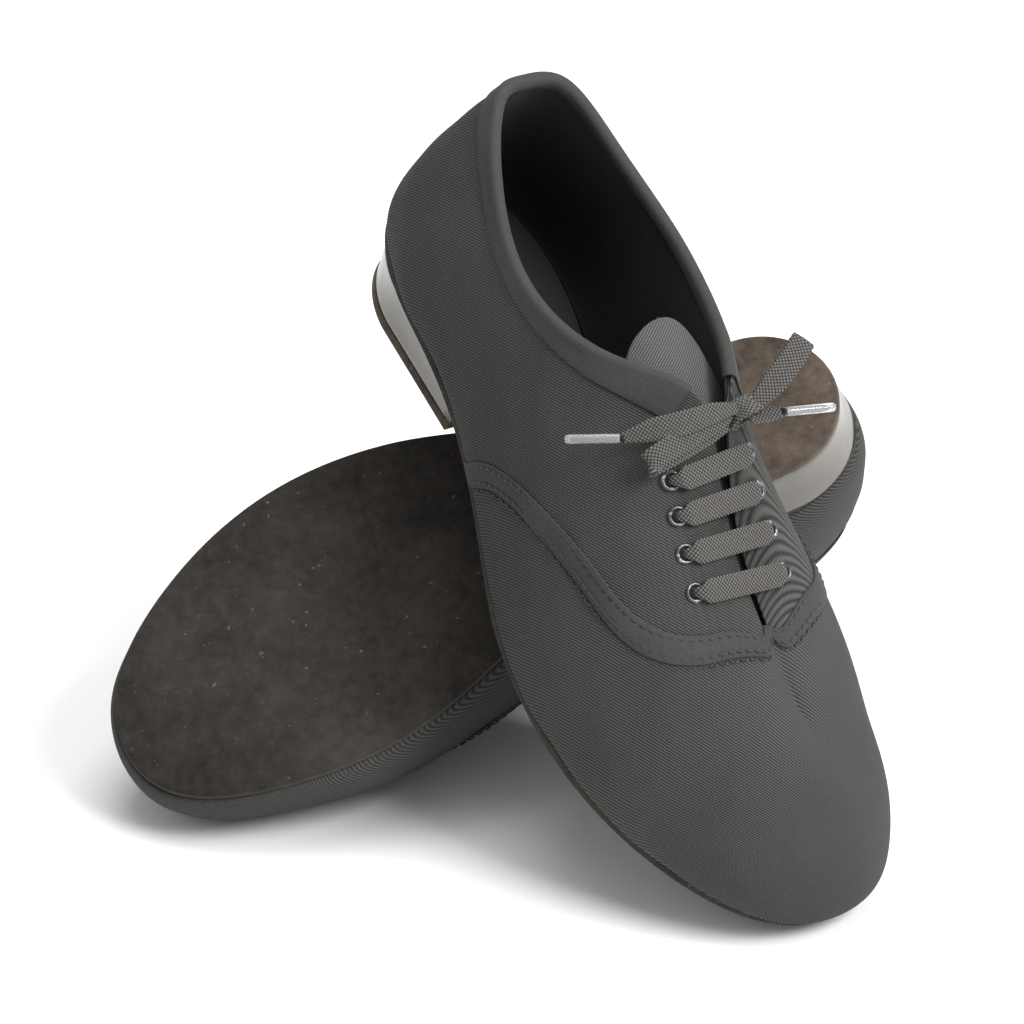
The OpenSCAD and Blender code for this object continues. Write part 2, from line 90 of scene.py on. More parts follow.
HEEL_H, TOP_PIECE, HEEL_LEN, HEEL_HALF = 22.5, 4.0, 79.0, 27.0
OUTSOLE, CANVAS, SWELL, TOE_SPRING = 4.0, 1.1, 4.2, 9.0
LACE_W, LACE_T = 8.0, 1.4
print("edge points:", len(EDGE), "top points:", len(TOP))

# %% Curves
def ease(a, b, x):
    """0 before a, 1 after b, and a smooth S between them."""
    t = np.clip((np.asarray(x, float) - a) / (b - a), 0, 1)
    return t * t * (3 - 2 * t)


def blend(a, b, f):
    """a where f is 0, b where f is 1."""
    return a + (b - a) * f


def unit(v):
    """v divided by its own length."""
    return v / np.maximum(np.linalg.norm(v, axis=-1, keepdims=True), 1e-9)


def spline4(a, b, c, d, f):
    """The uniform cubic B-spline between four neighbours, at fraction f."""
    return (a * (1 - f) ** 3 + b * (3 * f ** 3 - 6 * f * f + 4)
            + c * (-3 * f ** 3 + 3 * f * f + 3 * f + 1) + d * f ** 3) / 6


def closed_curve(points, s):
    """A closed B-spline through the influence of points, at s knots from its start."""
    s = np.asarray(s, float)
    i = np.floor(s).astype(int)
    f = (s - i)[..., None]
    n = len(points)
    return spline4(points[(i - 1) % n], points[i % n], points[(i + 1) % n], points[(i + 2) % n], f)


def open_curve(points, u):
    """An open B-spline from the first point (u = 0) to the last (u = 1)."""
    padded = np.vstack([2 * points[0] - points[1], points, 2 * points[-1] - points[-2]])
    x = np.asarray(u, float) * (len(points) - 1)
    i = np.clip(np.floor(x).astype(int), 0, len(points) - 2)
    return spline4(padded[i], padded[i + 1], padded[i + 2], padded[i + 3], (x - i)[..., None])


def through(points, u):
    """A smooth curve that passes through every point: each stretch bends towards its neighbours."""
    points = np.asarray(points, float)
    padded = np.vstack([2 * points[0] - points[1], points, 2 * points[-1] - points[-2]])
    x = np.asarray(u, float) * (len(points) - 1)
    i = np.clip(np.floor(x).astype(int), 0, len(points) - 2)
    f = (x - i)[..., None]
    a, b, c, d = padded[i], padded[i + 1], padded[i + 2], padded[i + 3]
    return 0.5 * (2 * b + (c - a) * f + (2 * a - 5 * b + 4 * c - d) * f ** 2 + (3 * b - a - 3 * c + d) * f ** 3)


print("toe tip of the sole's edge:", closed_curve(EDGE, 9.0).round(1))

# %% The surface of the upper
def ground(x):
    """Height of the outsole's lower face: level at the heel, down to 0 at the ball, up at the toe."""
    return ((HEEL_H + 1.5 * np.clip((62 - x) / 62, 0, 1)) * (1 - ease(52, 158, x))
            + TOE_SPRING * np.clip((x - 222) / 64, 0, 1.2) ** 2)


def outwards(s):
    """The level direction straight out of the shoe: the edge's own direction turned by 90 degrees."""
    d = closed_curve(EDGE, s + 0.01) - closed_curve(EDGE, s - 0.01)
    return unit(np.stack([d[..., 1], -d[..., 0]], -1))


def upper(s, t):
    """A point on the upper. It runs from the sole's edge (t = 0) to the top edge (t = 1), on a
    quarter of an ellipse where the shoe is domed and nearly straight at the heel, and swells out."""
    s, t = np.broadcast_arrays(np.asarray(s, float), np.asarray(t, float))
    low, top, out = closed_curve(EDGE, s), closed_curve(TOP, s), outwards(s)
    turns = np.abs(s % KNOTS - TOE)
    w = 1 - ease(1.2, 4.6, turns)
    quarter = np.clip(t, 0, 1) * math.pi / 2
    g = w * (1 - np.cos(quarter) ** (1.25 - 0.25 * np.clip(t, 0, 1) ** 4)) + (1 - w) * t ** 1.9
    h = w * np.sin(quarter) ** 0.95 + (1 - w) * t ** 0.97
    k = np.where(t < 1, SWELL * np.sin(math.pi * np.clip(t, 0, 1) ** 0.62), 0)
    base = ground(low[..., 0]) + OUTSOLE
    xy = low + (top[..., :2] - low) * g[..., None] + out * k[..., None]
    return np.concatenate([xy, (base + (top[..., 2] - base) * h)[..., None]], -1)


def facing_out(s, t):
    """The direction straight out of that surface: the cross product of its two tangents."""
    s, t = np.broadcast_arrays(np.asarray(s, float), np.asarray(t, float))
    e = 0.02
    inside = np.clip(t, e, 1 - e / 2)
    along = upper(s + e, inside) - upper(s - e, inside)
    up = upper(s, np.minimum(t + e, 1)) - upper(s, np.maximum(t - e, 0))
    return unit(np.cross(along, up))


def side_knot(side, s):
    """The knot on the outer side (-1) or the inner side (1) that is s from the heel."""
    return np.where(np.asarray(side) < 0, s, KNOTS - s)


print("width over the ball:", round(float(np.ptp(upper(np.array([6.0, 12.0]), 0.2)[:, 1])), 1), "mm")

# %% [markdown]
# ## Where each shoe lies
# A turn about X, then Y, then Z, and a shift. The left shoe is the right one's mirror image.
# Points are turned into place in the mesh itself, so every object stays at the origin.

# %% Placing
PLACES = {"left": ((122.8, 57.7, 125.3), (149.4, 17.5, -157.2)), "right": ((-37, 80, 165.5), (-6.3, 36.9, -53.2))}


def turn_matrix(degrees):
    """The rotation matrix of turns about X, then Y, then Z."""
    (cx, cy, cz), (sx, sy, sz) = np.cos(np.radians(degrees)), np.sin(np.radians(degrees))
    rx = np.array([[1, 0, 0], [0, cx, -sx], [0, sx, cx]])
    ry = np.array([[cy, 0, sy], [0, 1, 0], [-sy, 0, cy]])
    rz = np.array([[cz, -sz, 0], [sz, cz, 0], [0, 0, 1]])
    return rz @ ry @ rx


def place(side, points):
    """Points of the drawn shoe, in mm, carried to where that shoe lies, in metres."""
    shift, turns = PLACES[side]
    mirror = np.array([1, -1 if side == "left" else 1, 1])
    return ((np.asarray(points, float) * mirror) @ turn_matrix(turns).T + np.array(shift)) / 1000


for side in PLACES:
    edge = upper(np.linspace(0, 18, 200), 0.0)
    low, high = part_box(side + "_outsole")
    print(side, "sole edge", place(side, edge).min(0).round(4), place(side, edge).max(0).round(4),
          "CAD", [round(v, 4) for v in low], [round(v, 4) for v in high])

# %% [markdown]
# ## From grids to closed cloth
# Cloth has two faces and a rounded rim. A grid of points with a direction at each gives both
# faces. At the rims the grid is carried a little further while the thickness falls to nothing
# along a quarter circle, so the two faces meet in one line and the mesh is closed.

# %% Mesh helpers
def make_piece(name, points, faces, material, body, uv=None, sharp=None):
    """A mesh object from points in metres and faces, turned right side out by its signed volume.
    uv gives each face corner its place on the flat cloth."""
    faces = np.asarray(faces)
    if faces.shape[1] == 4:
        fan = np.vstack([faces[:, [0, 1, 2]], faces[:, [0, 2, 3]]])
    else:
        fan = faces
    p = points - points.mean(0)
    volume = np.einsum("ij,ij->i", p[fan[:, 0]], np.cross(p[fan[:, 1]], p[fan[:, 2]])).sum() / 6
    if volume < 0:
        faces = faces[:, ::-1]
        uv = None if uv is None else uv[:, ::-1]
    used, index = np.unique(faces, return_inverse=True)
    mesh = bpy.data.meshes.new(name)
    mesh.from_pydata(points[used].tolist(), [], index.reshape(faces.shape).tolist())
    if uv is not None:
        layer = mesh.uv_layers.new(name="cloth")
        layer.data.foreach_set("uv", np.ascontiguousarray(uv, np.float32).ravel())
    mesh.shade_smooth()
    if sharp:
        mesh.set_sharp_from_angle(angle=math.radians(sharp))
    mesh.materials.append(material)
    piece = bpy.data.objects.new(name, mesh)
    scene.collection.objects.link(piece)
    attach(piece, body)
    return piece


def carry_on(grid, reach):
    """The grid with rows added at both ends. Each carries on in the end's own direction by the
    given distances."""
    first = grid[0] + unit(grid[0] - grid[1])[None] * reach[::-1, None, None]
    last = grid[-1] + unit(grid[-1] - grid[-2])[None] * reach[:, None, None]
    return np.concatenate([first, grid, last])


def sheet(points, normals, low, high, uv, folded=False, steps=3):
    """A closed sheet between the distances low and high from a grid of points, with round rims.
    Returns points, faces and corner uv. A folded sheet is closed on itself at its last row."""
    half, middle = (high - low) / 2, (high + low) / 2
    angles = np.radians(90 * np.arange(1, steps + 1) / steps)
    reach, fade = half * np.sin(angles), np.cos(angles)
    rows = carry_on(points, reach)
    turned = np.concatenate([np.repeat(normals[:1], steps, 0), normals, np.repeat(normals[-1:], steps, 0)])
    flat = carry_on(np.concatenate([uv, uv[..., :1] * 0], -1), reach)
    full = np.concatenate([fade[::-1], np.ones(len(points)), fade])
    if folded:
        rows, turned, flat, full = (x[:-steps] for x in (rows, turned, flat, full))
    rows, flat = (carry_on(x.transpose(1, 0, 2), reach).transpose(1, 0, 2) for x in (rows, flat))
    turned = np.concatenate([np.repeat(turned[:, :1], steps, 1), turned, np.repeat(turned[:, -1:], steps, 1)], 1)
    across = np.concatenate([fade[::-1], np.ones(points.shape[1]), fade])
    thick = half * full[:, None] * across[None]
    thick[thick < 1e-6] = 0
    n, m = thick.shape
    raw = np.arange(n * m).reshape(n, m)
    outer = raw.copy()
    inner = np.where(thick > 0, raw + n * m, raw)
    if folded:
        mirror = np.minimum(np.arange(m), m - 1 - np.arange(m))
        outer[-1], inner[-1] = outer[-1][mirror], inner[-1][mirror]
    faces, corners = [], []
    for index, order in ((outer, (0, 1, 2, 3)), (inner, (3, 2, 1, 0))):
        for target, source in ((faces, index), (corners, raw)):
            four = np.stack([source[:-1, :-1], source[:-1, 1:], source[1:, 1:], source[1:, :-1]], -1)
            target.append(four.reshape(-1, 4)[:, order])
    centre = rows + turned * middle
    both = np.concatenate([(centre + turned * thick[..., None]).reshape(-1, 3),
                           (centre - turned * thick[..., None]).reshape(-1, 3)])
    return both, np.concatenate(faces), flat.reshape(-1, 3)[np.concatenate(corners)][..., :2]


def tube_faces(rings, sides):
    """Faces of a closed tube of rings, each with that many sides. Each end is closed by a fan
    round one more point, the last two of the tube's points."""
    i, j = np.meshgrid(np.arange(rings - 1), np.arange(sides), indexing="ij")
    k = (j + 1) % sides
    quads = np.stack([i * sides + j, i * sides + k, (i + 1) * sides + k, (i + 1) * sides + j], -1).reshape(-1, 4)
    j = np.arange(sides)
    k = (j + 1) % sides
    start, end = rings * sides, rings * sides + 1
    caps = [np.stack([j * 0 + start, k, j, j * 0 + start], -1),
            np.stack([j * 0 + end, (rings - 1) * sides + j, (rings - 1) * sides + k, j * 0 + end], -1)]
    return quads, np.concatenate(caps)[:, :3]


def join(parts):
    """Several closed tubes as one: their points, quads, caps and flat coordinates, renumbered."""
    shift = np.cumsum([0] + [len(part[0]) for part in parts[:-1]])
    return (np.concatenate([part[0] for part in parts]),
            np.concatenate([part[1] + n for part, n in zip(parts, shift)]),
            np.concatenate([part[2] + n for part, n in zip(parts, shift)]),
            np.concatenate([part[3] for part in parts]))


print("helpers ready")

# %% [markdown]
# ## Materials
# Each finish is a small net of nodes. Cloth is drawn on its own flat coordinates, in
# millimetres, as a weaver would see it: ribs of a chosen pitch that cross the cloth at a slant.
# Suede, board and gloss read the object's own coordinates, in metres.

# %% Node helpers
class Finish:
    """A material and a short way to add nodes to it."""

    def __init__(self, name, colour, roughness, **sockets):
        self.material = bpy.data.materials.new(name)
        self.material.use_nodes = True
        self.tree = self.material.node_tree
        self.shader = self.tree.nodes["Principled BSDF"]
        self.set(Base_Color=(*colour, 1), Roughness=roughness, **sockets)
        self.material.diffuse_color = (*colour, 1)

    def set(self, **sockets):
        """Sets or links the shader's sockets; an underscore stands for a space."""
        for key, value in sockets.items():
            self.feed(self.shader.inputs[key.replace("_", " ")], value)

    def feed(self, socket, value):
        if isinstance(value, bpy.types.NodeSocket):
            self.tree.links.new(value, socket)
        elif value is not None:
            socket.default_value = value

    def add(self, kind, inputs, output=0, **settings):
        """A node with its inputs given by name or number, and one of its outputs."""
        node = self.tree.nodes.new("ShaderNode" + kind)
        for key, value in settings.items():
            setattr(node, key, value)
        for key, value in inputs.items():
            self.feed(node.inputs[key], value)
        return node.outputs[output]

    def math(self, operation, a, b=None):
        return self.add("Math", {0: a, 1: b}, operation=operation)

    def mix(self, factor, a, b):
        """The colour a where factor is 0 and b where it is 1."""
        return self.add("MixRGB", {0: factor, 1: a, 2: b})

    def ramp(self, value, low, high, a=0.0, b=1.0):
        """value carried from low..high to a..b, held outside."""
        return self.add("MapRange", {"Value": value, "From Min": low, "From Max": high, "To Min": a, "To Max": b})

    def noise(self, where, scale, detail=3.0, roughness=0.55):
        return self.add("TexNoise", {"Vector": where, "Scale": scale, "Detail": detail, "Roughness": roughness})

    def object_place(self):
        return self.add("TexCoord", {}, output=3)

    def cloth_place(self):
        return self.add("UVMap", {}, uv_map="cloth")

    def bump(self, height, distance, strength=1.0, normal=None):
        """Adds relief: height 0 to 1 stands for that distance in metres."""
        node = self.add("Bump", {"Height": height, "Distance": distance, "Strength": strength, "Normal": normal})
        self.set(Normal=node)
        return node


print("node helpers ready")

# %% [markdown]
# ### Twill
# Twill shows slanted ribs. Each rib is a row of long stitches of yarn, so the height is a wave
# across the ribs, dented along them where the yarn dives. Two noises, one fine and one slow,
# keep it from looking printed. The colour follows the same wave: the ribs are painted paler, a
# painted highlight, and the grooves painted darker, a painted shade.

# %% Twill finish
def twill(name, colour, light, slant, pitch=1.05, relief=0.00026):
    """Twill: rib = sine of the distance across the ribs, times a dent along each rib."""
    f = Finish(name, colour, 0.85, Sheen_Weight=0.03, Sheen_Roughness=0.5, Specular_IOR_Level=0.1)
    cloth = f.cloth_place()
    wobble = f.noise(cloth, 0.11, 2.0)
    xyz = f.tree.nodes.new("ShaderNodeSeparateXYZ")
    f.feed(xyz.inputs[0], cloth)
    u, v = xyz.outputs[0], xyz.outputs[1]
    c, s = math.cos(math.radians(slant)) / pitch, math.sin(math.radians(slant)) / pitch
    across = f.math("ADD", f.math("ADD", f.math("MULTIPLY", u, s), f.math("MULTIPLY", v, c)),
                    f.math("MULTIPLY", wobble, 0.35))
    along = f.math("SUBTRACT", f.math("MULTIPLY", u, c * 0.62), f.math("MULTIPLY", v, s * 0.62))
    rib = f.ramp(f.math("SINE", f.math("MULTIPLY", across, 2 * math.pi)), -1, 1)
    step = f.math("MULTIPLY", f.math("FLOOR", f.math("ADD", across, 0.25)), 0.38)
    dive = f.math("ABSOLUTE", f.math("SINE", f.math("MULTIPLY", f.math("ADD", along, step), math.pi)))
    yarn = f.math("MULTIPLY", f.math("POWER", rib, 0.8), f.ramp(dive, 0, 0.6, 0.62, 1.0))
    fuzz = f.noise(cloth, 3.2, 4.0, 0.7)
    slow = f.noise(f.object_place(), 18.0, 3.0)
    # Tone: the rib wave paints the ribs paler and the grooves darker, painted highlight and shade; the fuzz and the
    # slow noise are the cloth's own uneven tone.
    tone = f.math("MULTIPLY", f.math("ADD", f.math("MULTIPLY", yarn, 0.7), f.math("MULTIPLY", fuzz, 0.5)),
                  f.ramp(slow, 0.3, 0.7, 0.82, 1.12))
    base = f.mix(tone, (*colour, 1), (*light, 1))
    f.set(Base_Color=base, Roughness=f.ramp(yarn, 0, 1, 0.92, 0.72))
    f.bump(f.math("ADD", f.math("MULTIPLY", yarn, 0.8), f.math("MULTIPLY", fuzz, 0.25)), relief)
    return f.material


CLOTH = twill("charcoal_twill", (0.007, 0.0073, 0.0072), (0.08, 0.081, 0.077), -38)
TONGUE_CLOTH = twill("tongue_twill", (0.012, 0.0125, 0.0122), (0.13, 0.131, 0.127), 52, 0.85)
print("twill finishes:", CLOTH.name, TONGUE_CLOTH.name)

# %% [markdown]
# ### Tape, lining and thread
# The binding is a fine smooth tape, so it needs only a close cross weave and a soft shine along
# its folds. The lining is nearly black. The thread is dark with a faint twist.

# %% Tape, lining and thread
def plain_weave(name, colour, light, pitch, relief, roughness=0.75, sheen=0.1):
    """Plain weave: the product of two sines, one each way, at the yarn's pitch. It sets the relief and also the
    colour: painted highlight on the crossings and painted shade between them.
    """
    f = Finish(name, colour, roughness, Sheen_Weight=sheen, Specular_IOR_Level=0.3)
    xyz = f.tree.nodes.new("ShaderNodeSeparateXYZ")
    f.feed(xyz.inputs[0], f.cloth_place())
    turn = 2 * math.pi / pitch
    waves = [f.math("SINE", f.math("MULTIPLY", xyz.outputs[i], turn)) for i in (0, 1)]
    weave = f.ramp(f.math("MULTIPLY", *waves), -1, 1)
    fuzz = f.noise(f.object_place(), 900.0, 3.0)
    slow = f.noise(f.object_place(), 25.0)
    # Tone: the weave paints the crossings paler and the dips darker, painted highlight and shade; the two noises are
    # the cloth's own uneven tone.
    tone = f.math("MULTIPLY", f.math("ADD", f.math("MULTIPLY", weave, 0.5), f.math("MULTIPLY", fuzz, 0.6)),
                  f.ramp(slow, 0.3, 0.7, 0.8, 1.15))
    f.set(Base_Color=f.mix(tone, (*colour, 1), (*light, 1)))
    f.bump(f.math("ADD", weave, f.math("MULTIPLY", fuzz, 0.5)), relief)
    return f.material


TAPE = plain_weave("binding_tape", (0.012, 0.0122, 0.012), (0.052, 0.053, 0.051), 0.7, 0.00008, sheen=0.05)
LINING = plain_weave("dark_lining", (0.0035, 0.0042, 0.004), (0.014, 0.016, 0.015), 0.9, 0.00012, 0.9)
SOCK = plain_weave("sock_cloth", (0.004, 0.0042, 0.0045), (0.017, 0.018, 0.019), 1.0, 0.00012, 0.9)


def plait(name, groove_shade, bump, pitch=1.35):
    """The lace: painted shade where the plait's bumps meet and painted highlight on their tops, by the same rule as
    its relief.
    """
    f = Finish(name, groove_shade, 0.85, Sheen_Weight=0.04, Specular_IOR_Level=0.15)
    xyz = f.tree.nodes.new("ShaderNodeSeparateXYZ")
    f.feed(xyz.inputs[0], f.cloth_place())
    slant = f.math("MULTIPLY", xyz.outputs[0], 0.9)
    turn = math.pi / pitch
    a = f.math("SINE", f.math("MULTIPLY", f.math("ADD", xyz.outputs[1], slant), turn))
    b = f.math("SINE", f.math("MULTIPLY", f.math("SUBTRACT", xyz.outputs[1], slant), turn))
    height = f.math("SQRT", f.math("ABSOLUTE", f.math("MULTIPLY", a, b)))
    fuzz = f.noise(f.object_place(), 1600.0, 3.0, 0.7)
    # Tone: the bump height paints the tops paler and the gaps darker, painted highlight and shade; the fuzz is the
    # yarn's own uneven tone.
    tone = f.math("MULTIPLY", f.ramp(height, 0.25, 0.95), f.ramp(fuzz, 0.25, 0.75, 0.55, 1.25))
    f.set(Base_Color=f.mix(tone, (*groove_shade, 1), (*bump, 1)))
    f.bump(fuzz, 0.00012)
    return f.material


# The first colour is the painted shade between the bumps, the second the painted highlight on their tops.
LACE = plait("lace_cotton", (0.014, 0.0135, 0.013), (0.15, 0.143, 0.135))
thread = Finish("dark_thread", (0.007, 0.007, 0.0075), 0.6, Sheen_Weight=0.2)
twist = thread.noise(thread.object_place(), 1500.0, 2.0)
thread.set(Base_Color=thread.mix(twist, (0.003, 0.003, 0.0035, 1), (0.01, 0.01, 0.0105, 1)))
THREAD = thread.material
print("cloth finishes:", TAPE.name, LINING.name, SOCK.name, LACE.name, THREAD.name)

# %% [markdown]
# ### Suede, gloss, metal and clear plastic
# Suede is a nap of short fibres brushed this way and that: broad patches differ in tone, and a
# very fine noise stands for the fibres. The heel's top piece is a paler suede than the sole.

# %% Suede
def suede(name, dark, light, dust=0.62):
    """Suede: patches from a slow noise, grain from a middle one, fibres from a fine one, and
    a few pale specks of dust where a sharp noise peaks."""
    f = Finish(name, dark, 0.95, Sheen_Weight=0.08, Sheen_Roughness=0.6, Specular_IOR_Level=0.15)
    where = f.object_place()
    patches = f.noise(where, 28.0, 5.0, 0.62)
    fibres = f.noise(where, 1300.0, 3.0, 0.7)
    grain = f.noise(where, 260.0, 4.0, 0.65)
    tone = f.math("ADD", f.math("MULTIPLY", f.ramp(patches, 0.35, 0.7), 0.55),
                  f.math("ADD", f.math("MULTIPLY", f.ramp(grain, 0.35, 0.7), 0.35), f.math("MULTIPLY", fibres, 0.25)))
    base = f.mix(tone, (*dark, 1), (*light, 1))
    specks = f.ramp(f.noise(where, 420.0, 2.0, 0.5), dust + 0.09, dust + 0.14)
    base = f.mix(f.math("MULTIPLY", specks, 0.55), base, (0.16, 0.15, 0.14, 1))
    f.set(Base_Color=base)
    f.bump(f.math("ADD", fibres, f.math("MULTIPLY", grain, 0.8)), 0.00025)
    return f


SOLE = suede("sole_suede", (0.0045, 0.004, 0.0034), (0.044, 0.037, 0.031)).material
HEEL_SUEDE = suede("heel_suede", (0.01, 0.0078, 0.006), (0.115, 0.088, 0.066), 0.6).material

# The heel's pale warm grey and its streaks are painted reflection: a dark glossy heel mirrors the white studio, and
# that brightness is painted into the base colour.
gloss = Finish("heel_gloss", (0.19, 0.17, 0.15), 0.3, Coat_Weight=0.1, Coat_Roughness=0.15)
reflection_streaks = gloss.noise(gloss.object_place(), 60.0, 3.0)
gloss.set(Base_Color=gloss.mix(reflection_streaks, (0.08, 0.072, 0.062, 1), (0.15, 0.137, 0.12, 1)),
          Roughness=gloss.ramp(reflection_streaks, 0.3, 0.7, 0.18, 0.3))
gloss.bump(gloss.noise(gloss.object_place(), 220.0, 2.0), 0.00005)
PAINTED_REFLECTION_GLOSS = gloss.material

enamel = Finish("eyelet_enamel", (0.012, 0.012, 0.013), 0.25, Metallic=0.4, Coat_Weight=0.5)
worn = enamel.ramp(enamel.noise(enamel.object_place(), 500.0, 3.0), 0.55, 0.68)
enamel.set(Base_Color=enamel.mix(worn, (0.05, 0.05, 0.052, 1), (0.34, 0.34, 0.345, 1)),
           Roughness=enamel.ramp(worn, 0, 1, 0.22, 0.4))
ENAMEL = enamel.material

clear = Finish("clear_tip", (0.86, 0.87, 0.88), 0.12, Transmission_Weight=0.75, IOR=1.45)
clear.bump(clear.noise(clear.object_place(), 400.0, 2.0), 0.00005)
CLEAR = clear.material


def flecked(name, dark, light, scale, roughness, **sockets):
    """A plain matt or metal finish with a fine fleck: two colours mixed by noise."""
    f = Finish(name, dark, roughness, **sockets)
    fleck = f.noise(f.object_place(), scale, 4.0, 0.65)
    f.set(Base_Color=f.mix(f.ramp(fleck, 0.35, 0.65), (*dark, 1), (*light, 1)))
    f.bump(fleck, 0.0001)
    return f.material


BOARD = flecked("fibre_board", (0.28, 0.2, 0.12), (0.45, 0.33, 0.2), 700.0, 0.9)
CORK = flecked("cork_paste", (0.12, 0.07, 0.035), (0.34, 0.23, 0.13), 500.0, 0.95)
STEEL = flecked("nail_steel", (0.4, 0.4, 0.41), (0.6, 0.6, 0.61), 600.0, 0.35, Metallic=1.0)
STIFF = flecked("stiffener_felt", (0.12, 0.12, 0.125), (0.25, 0.25, 0.25), 800.0, 0.95)
print("finishes:", len(bpy.data.materials))

# %% Finishes on the CAD nodes that stay
KEPT = {"insole_board": BOARD, "shank": STEEL, "forepart_filler": CORK, "heel_nails": STEEL,
        "heel_counter": STIFF, "toe_puff": STIFF, "facing_stays": STIFF}
for side in PLACES:
    for part, finish in KEPT.items():
        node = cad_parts[f"{side}_{part}"]
        node.data.materials.clear()
        node.data.materials.append(finish)
print("inner parts finished:", 2 * len(KEPT))

# %% [markdown]
# ## The laces
# A flat lace is a wide thin plait. Its section is a flattened oval and its face is covered with
# slanting bumps, two sets that cross. The bumps are real relief here, not only shading.
# The free halves of each bow are cords with a clear tip, which is a separate piece.

# %% Lace helpers
def lace_section(route, widths, across, thick, rows_per_mm=4.0, sides=56, relief=0.36, pitch=1.35):
    """A flat lace along a route in mm. The section is a superellipse of the local width and the
    thickness. The plait's bumps are the square root of |sin a sin b|, where a and b slant
    opposite ways across the lace. Returns points, faces, uv, the middle line and its length."""
    route = np.asarray(route, float)
    coarse = through(route, np.linspace(0, 1, 400))
    length = np.concatenate([[0], np.cumsum(np.linalg.norm(np.diff(coarse, axis=0), axis=1))])
    rows = max(8, int(length[-1] * rows_per_mm))
    u = np.interp(np.linspace(0, length[-1], rows), length, np.linspace(0, 1, 400))
    middle = through(route, u)
    run = np.linspace(0, length[-1], rows)
    knots = np.linspace(0, 1, len(route))
    width = np.interp(u, knots, widths)
    ahead = unit(np.gradient(middle, axis=0))
    side_way = np.broadcast_to(np.asarray(across, float), middle.shape) if np.ndim(across) == 1 \
        else np.stack([np.interp(u, knots, np.asarray(across, float)[:, i]) for i in range(3)], -1)
    side_way = unit(side_way - ahead * (side_way * ahead).sum(-1, keepdims=True))
    up = np.cross(side_way, ahead)
    a = np.arange(sides) * 2 * math.pi / sides
    cx = np.sign(np.cos(a)) * np.abs(np.cos(a)) ** 0.75
    cy = np.sign(np.sin(a)) * np.abs(np.sin(a)) ** 0.55
    x = width[:, None] / 2 * cx[None]
    turn = math.pi / pitch
    bumps = np.sqrt(np.abs(np.sin(turn * (run[:, None] + x * 0.9)) * np.sin(turn * (run[:, None] - x * 0.9))))
    y = cy[None] * (thick / 2 + relief * (bumps - 0.75) * np.clip(width / 8, 0.3, 1)[:, None])
    x = x * (1 + 0.02 * np.sin(2 * turn * run)[:, None])
    ring = middle[:, None] + side_way[:, None] * x[..., None] + up[:, None] * y[..., None]
    points = np.concatenate([ring.reshape(-1, 3), middle[:1], middle[-1:]])
    quads, caps = tube_faces(rows, sides)
    flat = np.stack([np.broadcast_to(x + 6 * (cy < 0), x.shape), np.broadcast_to(run[:, None], x.shape)], -1)
    flat = np.concatenate([flat.reshape(-1, 2), [[0, 0], [0, run[-1]]]])
    return points, quads, caps, flat, middle, length[-1]


def lace_piece(name, side, body_points, body_name, material=None):
    """Puts a closed tube in its place: a lace, a turned part, the heel or a row of stitches."""
    points, quads, caps, flat = body_points[:4]
    mesh_faces = [list(q) for q in quads.tolist()] + [list(t) for t in caps.tolist()]
    world = place(side, points)
    fan = np.vstack([quads[:, [0, 1, 2]], quads[:, [0, 2, 3]], caps])
    p = world - world.mean(0)
    if np.einsum("ij,ij->i", p[fan[:, 0]], np.cross(p[fan[:, 1]], p[fan[:, 2]])).sum() < 0:
        mesh_faces = [face[::-1] for face in mesh_faces]
    mesh = bpy.data.meshes.new(name)
    mesh.from_pydata(world.tolist(), [], mesh_faces)
    layer = mesh.uv_layers.new(name="cloth")
    corners = np.concatenate([np.asarray(face) for face in mesh_faces])
    layer.data.foreach_set("uv", flat[corners].astype(np.float32).ravel())
    mesh.shade_smooth()
    mesh.materials.append(material or LACE)
    piece = bpy.data.objects.new(name, mesh)
    scene.collection.objects.link(piece)
    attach(piece, body_name)
    return piece


# %% Routes of the bows
ROUTES = {
    ("right", "outer"): [[141, 4, 95.5], [142, -6, 92.5], [143, -16, 90], [143.5, -25, 86.5], [143.6, -28.5, 86.6],
        [142.8, -26, 89.4], [141.5, -16, 93], [140.5, -6, 95.8], [139.8, 2, 97.4], [139.3, 4.2, 98.7],
        [138.8, 2, 100], [138, -6, 99.3], [137.3, -16, 96.8], [135, -25, 92.5], [132, -33, 86]],
    ("right", "inner"): [[140.5, 8, 96.4], [139.5, 12, 100], [136.5, 18.5, 105], [132.5, 25.5, 109.5],
        [129, 30.8, 112.8], [129.3, 30.2, 115], [133.2, 24.2, 112.2], [137.2, 17, 107.6], [140, 10.5, 102.6],
        [141.8, 7.4, 99.6], [143, 9, 98.2], [143.8, 14, 99.2], [145.5, 20.5, 101]],
    ("left", "outer"): [[141, -7, 93.5], [143, -14, 91], [144, -22, 88], [144, -29, 83.5], [144, -32.3, 83.2],
        [143, -30, 86], [142, -22, 90.8], [141, -14, 94], [140.4, -9, 95.6], [140, -6.5, 97],
        [139.6, -9, 98.3], [139, -16, 96.8], [138, -24, 92.6], [136, -32, 85.5], [132.5, -39, 77]],
    ("left", "inner"): [[141, -4, 95.5], [137, -3.5, 97.2], [131, -2.5, 98.8], [123, -1.5, 99.6], [114, -1, 100.2],
        [111.5, -1, 101.4], [114, -1, 103.4], [123, -1.6, 102.9], [131, -2.8, 101.9], [137, -4.2, 100.2],
        [140.6, -6.5, 98.4], [142.6, -9, 96.8], [146, -15, 93], [151, -22, 88.5], [158, -29, 82]]}
OUTER_WIDTHS = [4, 7, 8, 8, 8, 8, 8, 7, 4, 4, 4, 7, 8, 8, 3]
